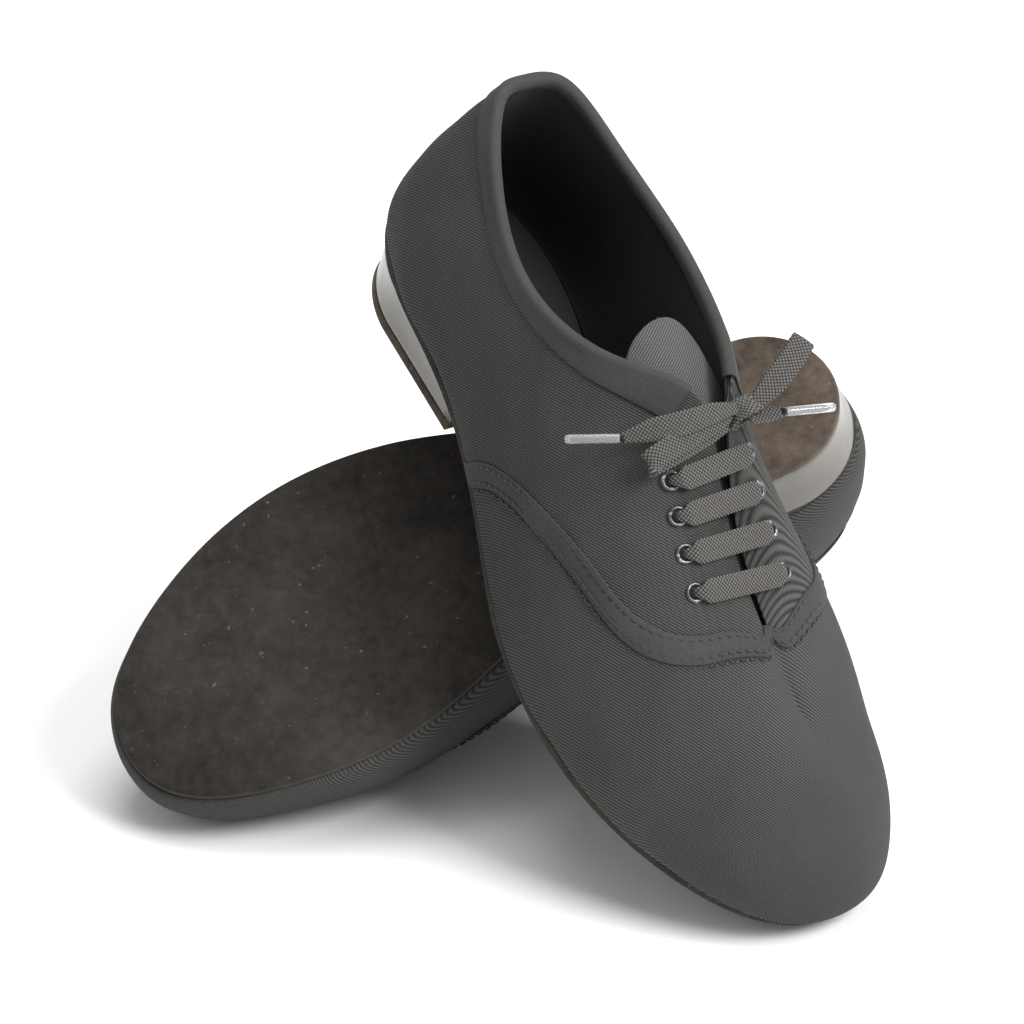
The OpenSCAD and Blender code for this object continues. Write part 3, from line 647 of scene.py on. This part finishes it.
WIDTHS = {("right", "outer"): OUTER_WIDTHS, ("left", "outer"): OUTER_WIDTHS,
          ("right", "inner"): [4, 6, 8, 8, 8, 8, 8, 8, 5, 4, 4, 6, 3],
          ("left", "inner"): [4, 6, 8, 8, 8, 8, 8, 8, 8, 5, 4, 4, 7, 8, 3]}
ACROSS = {("right", "outer"): [0.85, 0, -0.5], ("left", "outer"): [0.85, 0, -0.5],
          ("right", "inner"): [0.86, 0.48, 0.09], ("left", "inner"): [0.4, 0.9, 0.1]}
TIPS = {("right", "outer"): [122.5, -44.5, 75], ("right", "inner"): [150, 37, 104],
        ("left", "outer"): [123, -49, 63], ("left", "inner"): [168, -41, 70]}
print("bow halves:", len(ROUTES))

# %% Clear tips
def lathe(profile, start, direction, turns=24):
    """A profile of (height, radius) turned about a line from start along direction. Returns the
    points, the quads, the two closing fans and empty flat coordinates."""
    direction = unit(np.asarray(direction, float))
    helper = np.array([0, 0, 1.0]) if abs(direction[2]) < 0.9 else np.array([1.0, 0, 0])
    u = unit(np.cross(direction, helper))
    v = np.cross(direction, u)
    a = np.arange(turns) * 2 * math.pi / turns
    around = np.cos(a)[:, None] * u + np.sin(a)[:, None] * v
    h, r = np.asarray(profile, float).T
    ring = np.asarray(start) + h[:, None, None] * direction + r[:, None, None] * around[None]
    points = np.concatenate([ring.reshape(-1, 3), [start + h[0] * direction], [start + h[-1] * direction]])
    return (points, *tube_faces(len(h), turns), np.zeros((len(points), 2)))


def lathe_piece(name, side, profile, start, direction, material, turns=24):
    return lace_piece(name, side, lathe(profile, start, direction, turns), side + "_shoe_body", material)


def tip_pieces(side, half):
    """A clear sleeve, open shine and round ends, and the pinched end of the lace inside it."""
    start = np.array(ROUTES[side, half][-1], float)
    way = unit(np.array(TIPS[side, half], float) - start)
    sleeve = [(0.1, 1.2), (0.35, 1.45), (0.9, 1.5), (16.8, 1.5), (17.7, 1.38), (18.1, 1.0)]
    core = [(-1.2, 1.3), (0.0, 1.15), (1.5, 0.9), (13.0, 0.75), (15.5, 0.55), (16.2, 0.2)]
    tip = lathe_piece(f"{side}_tip_{half}", side, sleeve, start, way, CLEAR)
    heart = lathe_piece(f"{side}_tip_core_{half}", side, core, start, way, LACE, 16)
    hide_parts(f"{side}_aglet_{half}")
    return tip, heart


for (side, half), route in ROUTES.items():
    swept = lace_section(route, WIDTHS[side, half], ACROSS[side, half], LACE_T)
    lace = lace_piece(f"{side}_bow_{half}_plait", side, swept, side + "_shoe_body")
    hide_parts(f"{side}_bow_{half}")
    pieces = tip_pieces(side, half)
    print(side, half, "half of the bow:", round(swept[5], 1), "mm")

# %% [markdown]
# ## The lacing
# Four bars cross the facings. Each comes up through an eyelet on one side, runs straight across
# and goes down through the opposite one.

# %% Eyelet places
EYELETS = range(4)


def eyelet_spot(side_sign, k):
    """The knot and height of eyelet k, counted from the top, on one side."""
    if side_sign < 0:
        return 5.42 + 0.31 * k, 0.823 - 0.034 * k
    return KNOTS - 5.8 - 0.37 * k, 0.92 - 0.028 * k


BAR_UP = unit(np.array([0.5, 0, 0.85]))


def eyelet_point(side_sign, k, d):
    """A point on the axis of an eyelet, at distance d out of the cloth."""
    s, t = eyelet_spot(side_sign, k)
    return upper(s, t) + d * facing_out(s, t)


def bar_point(k, v, d):
    """A point d above the straight line from the outer eyelet (v = -1) to the inner one (v = 1).
    The top bar lies a little higher, because the tongue is fullest there."""
    lift = 0.5 if k == 0 else 0.0
    return blend(eyelet_point(-1, k, 0), eyelet_point(1, k, 0), (v + 1) / 2) + (d + lift) * BAR_UP


STOPS = [(-0.93, 2.8, 5), (-0.8, 3.5, 8), (-0.45, 3.5, 8), (-0.15, 3.3, 8), (0.15, 3.1, 8), (0.45, 2.9, 8),
         (0.8, 2.8, 8), (0.93, 2.5, 5)]
for side in PLACES:
    parts = []
    for k in EYELETS:
        route = [eyelet_point(-1, k, -4.2), eyelet_point(-1, k, 0.6), *[bar_point(k, v, d) for v, d, w in STOPS],
                 eyelet_point(1, k, 0.6), eyelet_point(1, k, -4.2)]
        line = unit(eyelet_point(1, k, 0) - eyelet_point(-1, k, 0))
        widths = [2.8, 2.8, *[w for v, d, w in STOPS], 2.8, 2.8]
        parts.append(lace_section(route, widths, np.cross(line, BAR_UP), LACE_T))
    bars = lace_piece(side + "_lacing_bars", side, join(parts), side + "_shoe_body")
    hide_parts(side + "_lace")
    print(side, "lacing bars:", [round(p[5]) for p in parts], "mm long")

# %% The knot
KNOTS_AT = {"right": [139.5, 7, 98], "left": [141, -6.5, 96]}


def wrap_route(centre, half_length, half_height, lean, count=13):
    """An oval path round the knot, which the lace wraps. It ends where it starts."""
    a = np.linspace(math.radians(lean), math.radians(lean + 360), count)
    x = np.cos(a) * half_length
    z = np.sin(a) * half_height
    return np.stack([centre[0] + 0 * x, centre[1] + x, centre[2] + 0.6 * x + z], -1)


for side in PLACES:
    centre = np.array(KNOTS_AT[side], float)
    loops = [wrap_route(centre, 4.6, 3.2, 20), wrap_route(centre + [0.6, 0, 0], 3.2, 3.9, 200)]
    ways = [[1, 0.25, 0.2], [1, -0.55, 0.15]]
    parts = [lace_section(loop, [7.2] * len(loop), way, LACE_T) for loop, way in zip(loops, ways)]
    knot = lace_piece(side + "_knot_wrap", side, join(parts), side + "_shoe_body")
    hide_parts(side + "_lace_knot")
print("knots wrapped")

# %% [markdown]
# ## The canvas
# The vamp covers the toes. Its cloth runs from the seam to the toe, over the ridge from one edge
# of the sole to the other. The quarters cover the sides and the heel and end in the facings.
# Small slow waves, well under a millimetre, keep the cloth from looking like plastic.

# %% Vamp and quarters
def waves(points, size=0.22):
    """A slow unevenness of the cloth: the sum of three sines in different directions."""
    x, y, z = points[..., 0], points[..., 1], points[..., 2]
    return size * (np.sin(0.11 * x + 0.07 * z + 1.3) + 0.7 * np.sin(0.17 * y - 0.12 * x + 0.4)
                   + 0.5 * np.sin(0.29 * z + 0.23 * x + 2.2))


def skin(s, t):
    """Points of the upper and the directions out of it."""
    return upper(s, t), facing_out(s, t)


def skin_over_ridge(s, t, v):
    """The same from edge to edge: s where v is below 0, its partner on the inner side where v is
    above 0, and the mean of the two on the ridge."""
    p, n = skin(np.where(v[None] > 0, KNOTS - s, s), t)
    ridge = len(v) // 2
    other_p, other_n = skin(KNOTS - s[:, ridge], t[:, ridge])
    p[:, ridge], n[:, ridge] = (p[:, ridge] + other_p) / 2, unit(n[:, ridge] + other_n)
    return p, n


def vamp_surface(rows=110, cols=161):
    """The vamp: f runs from the seam to the toe, v from edge to edge. Its flat coordinates are x and
    y, each stretched by the fall from the ridge where the cloth turns down."""
    f = np.linspace(0, 1, rows)[:, None]
    v = np.linspace(-1, 1, cols)
    a = open_curve(SEAM, np.abs(v))
    s = blend(TOE - a[None, :, 0], TOE, f)
    p, n = skin_over_ridge(s, np.broadcast_to(a[None, :, 1], s.shape), v)
    x, y, z = p[..., 0], p[..., 1], p[..., 2]
    fall = 0.9 * (60 - z)
    return p, n, np.stack([x + fall * ease(230, 300, x), y + fall * np.tanh(y / 25)], -1)


def quarter_surface(sign, rows=150, cols=64):
    """A quarter: f runs from the back seam to the vamp's seam, u from the sole to the top edge. Its
    flat coordinates are x and z, with a share of y for the round heel and the leaning wall."""
    f = np.linspace(0, 1, rows)[:, None]
    u = np.linspace(1, 0, cols)
    a = open_curve(SEAM, u)
    s = blend(0.02, TOE - a[None, :, 0], f)
    t = np.broadcast_to(a[None, :, 1], s.shape)
    p, n = skin(side_knot(sign, s), t)
    x, y, z = p[..., 0], np.abs(p[..., 1]), p[..., 2]
    return p, n, np.stack([x + 0.6 * y, -sign * (z - 0.45 * y)], -1)


for side in PLACES:
    body = side + "_shoe_body"
    p, n, uv = vamp_surface()
    bump = waves(p)[..., None]
    points, faces, corner_uv = sheet(p + n * bump, n, -CANVAS, 0.0, uv, folded=True)
    vamp = make_piece(side + "_vamp_cloth", place(side, points), faces, CLOTH, body, corner_uv)
    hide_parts(side + "_vamp")
    for sign, word in ((-1, "outer"), (1, "inner")):
        p, n, uv = quarter_surface(sign)
        points, faces, corner_uv = sheet(p + n * waves(p)[..., None], n, -CANVAS, 0.0, uv)
        cloth = make_piece(f"{side}_quarter_{word}_cloth", place(side, points), faces, CLOTH, body,
                           corner_uv)
        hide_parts(f"{side}_quarter_{word}")
    print(side, "canvas faces:", len(vamp.data.polygons), len(cloth.data.polygons))

# %% [markdown]
# ## The lining
# Inside, a dark lining follows the canvas, 2.3 mm under it. Only a little shows, in the mouth.

# %% Lining
LINING_LOW, LINING_HIGH = -3.1, -2.3
for side in PLACES:
    body = side + "_shoe_body"
    p, n, uv = vamp_surface(60, 81)
    points, faces, corner_uv = sheet(p, n, LINING_LOW, LINING_HIGH, uv, folded=True, steps=2)
    lining = make_piece(side + "_vamp_inside", place(side, points), faces, LINING, body, corner_uv)
    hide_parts(side + "_vamp_lining")
    quarters = []
    for sign, word in ((-1, "outer"), (1, "inner")):
        p, n, uv = quarter_surface(sign, 100, 44)
        points, faces, corner_uv = sheet(p, n, LINING_LOW, LINING_HIGH, uv, steps=2)
        piece = make_piece(f"{side}_inside_{word}", place(side, points), faces, LINING, body, corner_uv)
        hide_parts(side + "_quarter_lining")
print("linings in place")

# %% [markdown]
# ## Tongue
# The tongue is a long flap, domed across, with a round free end.

# %% Tongue
TONGUE_LINE = np.array([[196, 2, 56.6], [172, 2, 65.1], [150, 2, 77.6], [132, 1, 87.6], [116, 0, 93.1],
    [100, -1, 95.6]])
TONGUE_T = 1.8


def tongue_point(u, v):
    """u from the sewn foot to the free end, v from edge to edge. The half width narrows along it
    and rounds off at the end; the sides droop by the square of the distance from the middle."""
    u, v = np.broadcast_arrays(np.asarray(u, float), np.asarray(v, float))
    half = blend(21, 17, u) * np.sqrt(1 - 0.97 * (np.maximum(0, u - 0.8) / 0.2) ** 2)
    centre = open_curve(TONGUE_LINE, u)
    y = half * v
    drop = blend(3, 13.5, u) * (y / 21) ** 2
    return centre + np.stack([0 * y, y, -drop], -1)


def tongue_surface(rows=70, cols=41):
    """The tongue's grid, with its rows closer together towards the round end."""
    far = np.linspace(0, 1, rows)
    u = (1 - (1 - far) ** 1.6)[:, None]
    v = np.linspace(-1, 1, cols)[None]
    p = tongue_point(u, v)
    e = 0.01
    along = tongue_point(np.minimum(u + e, 0.97), v) - tongue_point(np.minimum(u, 0.96) - e, v)
    side_way = tongue_point(np.minimum(u, 0.96), v + e) - tongue_point(np.minimum(u, 0.96), v - e)
    n = unit(np.cross(side_way, along))
    n = n * np.sign(n[..., 2:3])
    return p, n, np.stack([p[..., 0], p[..., 1]], -1)


for side in PLACES:
    p, n, uv = tongue_surface()
    points, faces, corner_uv = sheet(p, n, -TONGUE_T, 0.0, uv)
    flap = make_piece(side + "_tongue_cloth", place(side, points), faces, TONGUE_CLOTH, side + "_tongue_flap",
                      corner_uv)
    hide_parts(side + "_tongue")
print("tongues in place")

# %% [markdown]
# ## Bindings and seams
# A tape is folded over the top edge and rolls a little above it. A second band covers the seam
# between vamp and quarters. Both are thicker in the middle than at their edges.

# %% Topline binding
STRIP_HEIGHTS = (0.912, 0.93, 0.95, 0.968)
STRIP_LIFT, ROLL_R, INSIDE_DEPTH = 0.12, 1.75, 3.2
TAPE_T, BAND_T = 0.7, 0.75


def topline_surface(rows=320, cols=15):
    """The tape's section goes up the outside from 0.912 of the height, over the rim and down the
    inside: a strip, then an arc about the top edge. Rows run round the mouth between the facings."""
    s = np.linspace(-5.0, 5.0, rows) % KNOTS
    top = upper(s, 1.0)
    out = facing_out(s, 1.0)
    up = unit(top - upper(s, 0.97))
    strip = []
    for t in STRIP_HEIGHTS:
        at, away = skin(s, t)
        strip.append(at + away * (waves(at)[..., None] + STRIP_LIFT))
    inner_low = upper(s, 0.962) - facing_out(s, 0.962) * INSIDE_DEPTH
    centre = top - out * 1.45 - up * 0.6
    a = np.radians(np.linspace(0, 180, cols - 4))
    arc = (centre[:, None] + out[:, None] * (np.cos(a) * ROLL_R)[None, :, None]
           + up[:, None] * (np.sin(a) * ROLL_R)[None, :, None])
    first = [*strip, blend(strip[-1], arc[:, 0], 0.6)]
    last = [blend(inner_low, arc[:, -1], 0.5), inner_low]
    p = np.stack([*first, *[arc[:, i] for i in range(arc.shape[1])], *last], 1)
    n = unit(np.cross(np.gradient(p, axis=1), np.gradient(p, axis=0)))
    sign = np.sign((n[:, :1] * out[:, None]).sum(-1, keepdims=True))
    n = n * sign
    run = np.concatenate([[0], np.cumsum(np.linalg.norm(np.diff(top, axis=0), axis=1))])
    girth = np.concatenate([np.zeros((rows, 1)), np.cumsum(np.linalg.norm(np.diff(p, axis=1), axis=-1), 1)], 1)
    return p, n, np.stack([np.broadcast_to(run[:, None], girth.shape), girth], -1)


def band_surface(rows=9, cols=221, reach=1.0):
    """The band over the vamp's seam: f from the seam's line to the band's lower line, v across
    the ridge from edge to edge. It bulges by a half sine across its width."""
    f = np.linspace(0, reach, rows)[:, None]
    v = np.linspace(-1, 1, cols)
    line = blend(open_curve(SEAM, np.abs(v))[None], open_curve(BAND, np.abs(v))[None], f[..., None])
    p, n = skin_over_ridge(TOE - line[..., 0], line[..., 1], v)
    p = p + n * (0.25 * np.sin(math.pi * f / reach))[..., None]
    run = np.concatenate([np.zeros((rows, 1)), np.cumsum(np.linalg.norm(np.diff(p, axis=1), axis=-1), 1)], 1)
    return p, n, np.stack([run, np.broadcast_to(f * 6, run.shape)], -1)


for side in PLACES:
    body = side + "_shoe_body"
    p, n, uv = topline_surface()
    points, faces, corner_uv = sheet(p, n, 0.0, TAPE_T, uv, steps=2)
    tape = make_piece(side + "_topline_tape", place(side, points), faces, TAPE, body, corner_uv)
    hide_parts(side + "_topline_binding")
    p, n, uv = band_surface()
    points, faces, corner_uv = sheet(p + n * waves(p)[..., None], n, 0.0, BAND_T, uv)
    band = make_piece(side + "_seam_band", place(side, points), faces, TAPE, body, corner_uv)
    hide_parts(side + "_vamp_band")
print("bindings in place")

# %% [markdown]
# ## Eyelets
# An eyelet is a short tube with a rolled rim, drawn here as a turned profile. A black plug in each
# bore hides the canvas behind it and is painted shade: it stands for the dark of the hole, which the CAD part really
# has.

# %% Eyelets
EYELET_RIM = [(-3.4, 2.5), (-3.4, 2.1), (0.5, 2.1), (0.82, 2.25), (1.0, 2.6), (1.0, 2.95), (0.8, 3.25), (0.45, 3.4),
              (0.1, 3.35), (0.05, 2.6)]
HOLE_SHADE_PROFILE = [(-1.6, 2.05), (0.52, 2.05)]


def ring(profile, centre, direction, turns=40):
    """A closed profile of (height, radius) turned about a line: a ring with a hole."""
    direction = unit(np.asarray(direction, float))
    u = unit(np.cross(direction, [1.0, 0.2, 0.1]))
    v = np.cross(direction, u)
    a = np.arange(turns) * 2 * math.pi / turns
    around = np.cos(a)[:, None] * u + np.sin(a)[:, None] * v
    h, r = np.asarray(profile, float).T
    points = (np.asarray(centre) + h[:, None, None] * direction + r[:, None, None] * around[None]).reshape(-1, 3)
    i, j = np.meshgrid(np.arange(len(h)), np.arange(turns), indexing="ij")
    k, m = (j + 1) % turns, (i + 1) % len(h)
    return points, np.stack([i * turns + j, i * turns + k, m * turns + k, m * turns + j], -1).reshape(-1, 4)


for side in PLACES:
    points, faces, count = [], [], 0
    for sign in (-1, 1):
        for k in EYELETS:
            s, t = eyelet_spot(sign, k)
            p, f = ring(EYELET_RIM, upper(s, t), facing_out(s, t))
            points.append(p)
            faces.append(f + count)
            count += len(p)
    rims = make_piece(side + "_eyelet_rims", place(side, np.concatenate(points)), np.concatenate(faces), ENAMEL,
                      side + "_shoe_body")
    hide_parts(side + "_eyelets")
    # Black plugs in the bores: painted shade standing for the dark of each hole.
    hole_shade_plugs = [lathe(HOLE_SHADE_PROFILE, upper(*eyelet_spot(sign, k)), facing_out(*eyelet_spot(sign, k)))
             for sign in (-1, 1) for k in EYELETS]
    lace_piece(side + "_eyelet_hole_shade", side, join(hole_shade_plugs), side + "_shoe_body", LINING)
print("eyelets:", 8 * len(PLACES))

# %% [markdown]
# ## Stitching
# A stitch is a short thread with both ends in the cloth. Hundreds of them are made at once as
# low capsules along rows that follow the seams. The topline's row lies on the canvas, so the
# tape covers it.

# %% Stitches
def stitch_row(points, normals, pitch, length, width, lift=0.1, slant=0.0):
    """Start and end points of stitches every pitch mm along a path, with the path's directions
    out of the cloth. slant moves the two ends apart sideways."""
    run = np.concatenate([[0], np.cumsum(np.linalg.norm(np.diff(points, axis=0), axis=1))])
    at = np.arange(pitch * 0.5, run[-1] - length, pitch)
    def along(x, values):
        return np.stack([np.interp(x, run, values[:, i]) for i in range(3)], -1)
    a, b, n = along(at, points), along(at + length, points), unit(along(at + length / 2, normals))
    sideways = unit(np.cross(n, b - a))
    flip = (np.arange(len(at)) % 2 * 2 - 1)[:, None]
    return a + n * lift - sideways * flip * slant, b + n * lift + sideways * flip * slant, n, np.full(len(at), width)


def stitch_piece(name, side, body, rows):
    """Capsules of six sides: five rings whose width follows a half ellipse, closed by points."""
    a, b, n, w = (np.concatenate(x) for x in zip(*rows))
    steps = np.array([0.06, 0.25, 0.5, 0.75, 0.94])
    size = np.sqrt(1 - (2 * steps - 1) ** 2) ** 0.6
    turns = np.arange(6) * math.pi / 3
    way = unit(b - a)
    sideways = np.cross(n, way)
    centre = a[:, None] + (b - a)[:, None] * steps[None, :, None]
    centre = centre + n[:, None] * (0.18 * np.sin(steps * math.pi))[None, :, None]
    radius = (w[:, None] / 2 * size[None])[..., None, None]
    rim = centre[:, :, None] + radius * (np.cos(turns)[None, None, :, None] * sideways[:, None, None]
                                         + 0.8 * np.sin(turns)[None, None, :, None] * n[:, None, None])
    count = len(a)
    points = np.concatenate([rim.reshape(count, -1, 3), a[:, None], b[:, None]], 1)
    quads, caps = tube_faces(5, 6)
    jump = (np.arange(count) * points.shape[1])[:, None, None]
    quads, caps = (quads[None] + jump).reshape(-1, 4), (caps[None] + jump).reshape(-1, 3)
    flat = np.zeros((points.shape[0] * points.shape[1], 2))
    piece = lace_piece(name, side, (points.reshape(-1, 3), quads, caps, flat), body, THREAD)
    return piece, count


for side in PLACES:
    p, n, uv = band_surface(21, 261)
    q, m, uv = band_surface(21, 261, reach=1.16)
    band_rows = [stitch_row(p[3] + n[3] * 0.7, n[3], 3.4, 2.4, 0.75),
                 stitch_row(p[16] + n[16] * 0.7, n[16], 3.4, 2.7, 0.8),
                 stitch_row(q[20], m[20], 1.9, 1.75, 0.6, 0.05, 0.55)]
    s = np.linspace(-5.1, 5.1, 500) % KNOTS
    t = 0.925
    top_rows = [stitch_row(upper(s, t), facing_out(s, t), 4.7, 3.1, 0.7)]
    stitches, total = stitch_piece(side + "_seam_stitches", side, side + "_shoe_body", band_rows + top_rows)
    print(side, "stitches:", total)

# %% [markdown]
# ## Sole and heel
# The sole is one thick suede plate that follows the edge of the last. Its rim is rounded and the
# nap shows on its whole face. The heel is a glossy block on a suede top piece; its pale warm grey is a
# painted reflection of the white studio on a dark heel.

# %% Outsole, sock and top piece
SOLE_INSET, SOLE_CORNER = 0.4, 0.9
SOCK_INSET, SOCK_CORNER, SOCK_LOW, SOCK_HIGH = 5.5, 0.4, 3.9, 5.1


def plate(inset, low, high, corner, count=240, rings=22):
    """A closed plate between two heights above the ground line. Its rings shrink from the edge to
    the middle line, where a point and its partner on the other side meet. The corners are round."""
    s = np.arange(count) * KNOTS / count
    partner = np.minimum(np.arange(count), count - np.arange(count))
    along = blend(0.7, 8.3, partner / (count / 2))
    middle = (closed_curve(EDGE, along) + closed_curve(EDGE, KNOTS - along)) / 2
    edge, out = closed_curve(EDGE, s), outwards(s)
    turns = np.radians(np.linspace(0, 90, 5))
    levels = []
    for f in np.linspace(1, 0, rings)[:-1]:
        levels.append((blend(edge - (inset + corner) * out, middle, f), high))
    for a in turns:
        levels.append((edge - (inset + corner * (1 - np.sin(a))) * out, high - corner * (1 - np.cos(a))))
    for a in turns[::-1]:
        levels.append((edge - (inset + corner * (1 - np.sin(a))) * out, low + corner * (1 - np.cos(a))))
    for f in np.linspace(0, 1, rings)[1:]:
        levels.append((blend(edge - (inset + corner) * out, middle, f), low))
    xy = np.array([level[0] for level in levels])
    z = ground(xy[..., 0]) + np.array([level[1] for level in levels])[:, None]
    index = np.arange(len(levels) * count).reshape(len(levels), count)
    index[0], index[-1] = index[0][partner], index[-1][partner]
    beyond = np.roll(index, -1, 1)
    faces = np.stack([index[:-1], beyond[:-1], beyond[1:], index[1:]], -1).reshape(-1, 4)
    flat = xy.reshape(-1, 2)
    return np.concatenate([xy, z[..., None]], -1).reshape(-1, 3), faces, flat[faces]


def heel_outline(h, count=90):
    """The heel's outline at height h, from 0 at the ground to 1 at the seat: a round back and
    straight sides, with the front face between its two corners."""
    half, back, front = blend(HEEL_HALF, 32, h), blend(8, 2, h), HEEL_LEN + 2 * h
    r = 1.08 * half
    a = np.radians(np.linspace(90, 270, count))
    arc = np.stack([back + r + r * np.cos(a), half * np.sin(a)], -1)
    low, high = np.array([front, -half + 1.5]), np.array([front, half - 1.5])
    f = np.linspace(0, 1, 24)[1:, None]
    return np.concatenate([arc, blend(arc[-1], low, f), blend(low, high, f), blend(high, arc[0], f[:-1])])


def inset_outline(outline, distance):
    """The outline moved inwards by a distance, along its own normals."""
    way = unit(np.roll(outline, -1, 0) - np.roll(outline, 1, 0))
    inwards = np.stack([-way[:, 1], way[:, 0]], -1)
    return outline + inwards * distance


def heel_stack(levels):
    """Rings of the heel at the given (height in mm, h, inset), closed by fans at both ends."""
    rings = []
    for z, h, inset in levels:
        flat = inset_outline(heel_outline(h), inset)
        rings.append(np.concatenate([flat, (z if np.ndim(z) else np.full(len(flat), z))[..., None]], -1))
    rings = np.array(rings)
    points = np.concatenate([rings.reshape(-1, 3), [rings[0].mean(0)], [rings[-1].mean(0)]])
    return (points, *tube_faces(len(levels), rings.shape[1]), np.zeros((len(points), 2)))


for side in PLACES:
    body = side + "_shoe_body"
    points, faces, corner_uv = plate(SOLE_INSET, 0.0, OUTSOLE - 0.05, SOLE_CORNER)
    sole = make_piece(side + "_outsole_suede", place(side, points), faces, SOLE, body, corner_uv)
    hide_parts(side + "_outsole")
    points, faces, corner_uv = plate(SOCK_INSET, OUTSOLE + SOCK_LOW, OUTSOLE + SOCK_HIGH, SOCK_CORNER, 180, 12)
    sock = make_piece(side + "_sock_cloth", place(side, points), faces, SOCK, body, corner_uv)
    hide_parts(side + "_sock_liner")
    top = lambda h: ground(heel_outline(h)[:, 0]) - 0.1
    levels = [(TOP_PIECE + 0.1, 0.0, 1.6), (TOP_PIECE + 0.1, 0.0, 0.7), (TOP_PIECE + 0.3, 0.01, 0.25),
              (TOP_PIECE + 0.9, 0.04, 0.0)]
    for h in np.linspace(0.12, 0.96, 12):
        levels.append((blend(TOP_PIECE + 0.1, top(h), h), h, 0.5 * math.sin(math.pi * h)))
    levels += [(top(1.0), 1.0, 0.0), (top(1.0), 1.0, 1.5)]
    block = lace_piece(side + "_heel_lacquer", side, heel_stack(levels), body, PAINTED_REFLECTION_GLOSS)
    block.data.set_sharp_from_angle(angle=math.radians(40))
    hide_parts(side + "_heel_block")
    levels = [(0.0, 0.0, 1.2), (0.0, 0.0, 0.8), (0.25, 0.0, 0.25), (0.8, 0.0, 0.0), (3.3, 0.0, 0.0),
              (3.8, 0.0, 0.2), (4.0, 0.0, 0.6)]
    lift = lace_piece(side + "_heel_lift", side, heel_stack(levels), body, HEEL_SUEDE)
    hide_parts(side + "_heel_top_piece")
print("soles and heels in place")

# %% [markdown]
# ## Floor and light
# A white floor and three large soft lights. The key comes from the upper right, so the toe and the
# instep are bright and the near side is darker. An even surround stands for a white studio, and the
# standard view keeps the floor white.

# %% Stage
floor_mesh = bpy.data.meshes.new("floor")
floor_mesh.from_pydata([(-6, -6, -0.0005), (6, -6, -0.0005), (6, 6, -0.0005), (-6, 6, -0.0005)], [], [(0, 1, 2, 3)])
floor = bpy.data.objects.new("floor", floor_mesh)
scene.collection.objects.link(floor)
paper = Finish("floor_paper", (0.93, 0.93, 0.93), 0.9, Specular_IOR_Level=0.1)
floor_mesh.materials.append(paper.material)

world = bpy.data.worlds.new("studio")
scene.world = world
world.use_nodes = True
world.node_tree.nodes["Background"].inputs[0].default_value = (1.0, 1.0, 1.0, 1)
world.node_tree.nodes["Background"].inputs[1].default_value = 0.45


def soft_light(name, place_at, target, size, power):
    """A square area light that faces its target."""
    data = bpy.data.lights.new(name, "AREA")
    data.size, data.energy = size, power
    light = bpy.data.objects.new(name, data)
    light.location = place_at
    light.rotation_euler = (Vector(target) - Vector(place_at)).to_track_quat("-Z", "Y").to_euler()
    scene.collection.objects.link(light)
    return light


soft_light("key", (1.2, -0.7, 1.3), (0, 0, 0.08), 0.9, 40)
soft_light("fill", (-1.2, -1.0, 1.0), (0, 0, 0.08), 1.0, 2)
soft_light("top", (0.1, 0.3, 1.9), (0, 0, 0.05), 1.4, 25)
scene.view_settings.view_transform = "Standard"
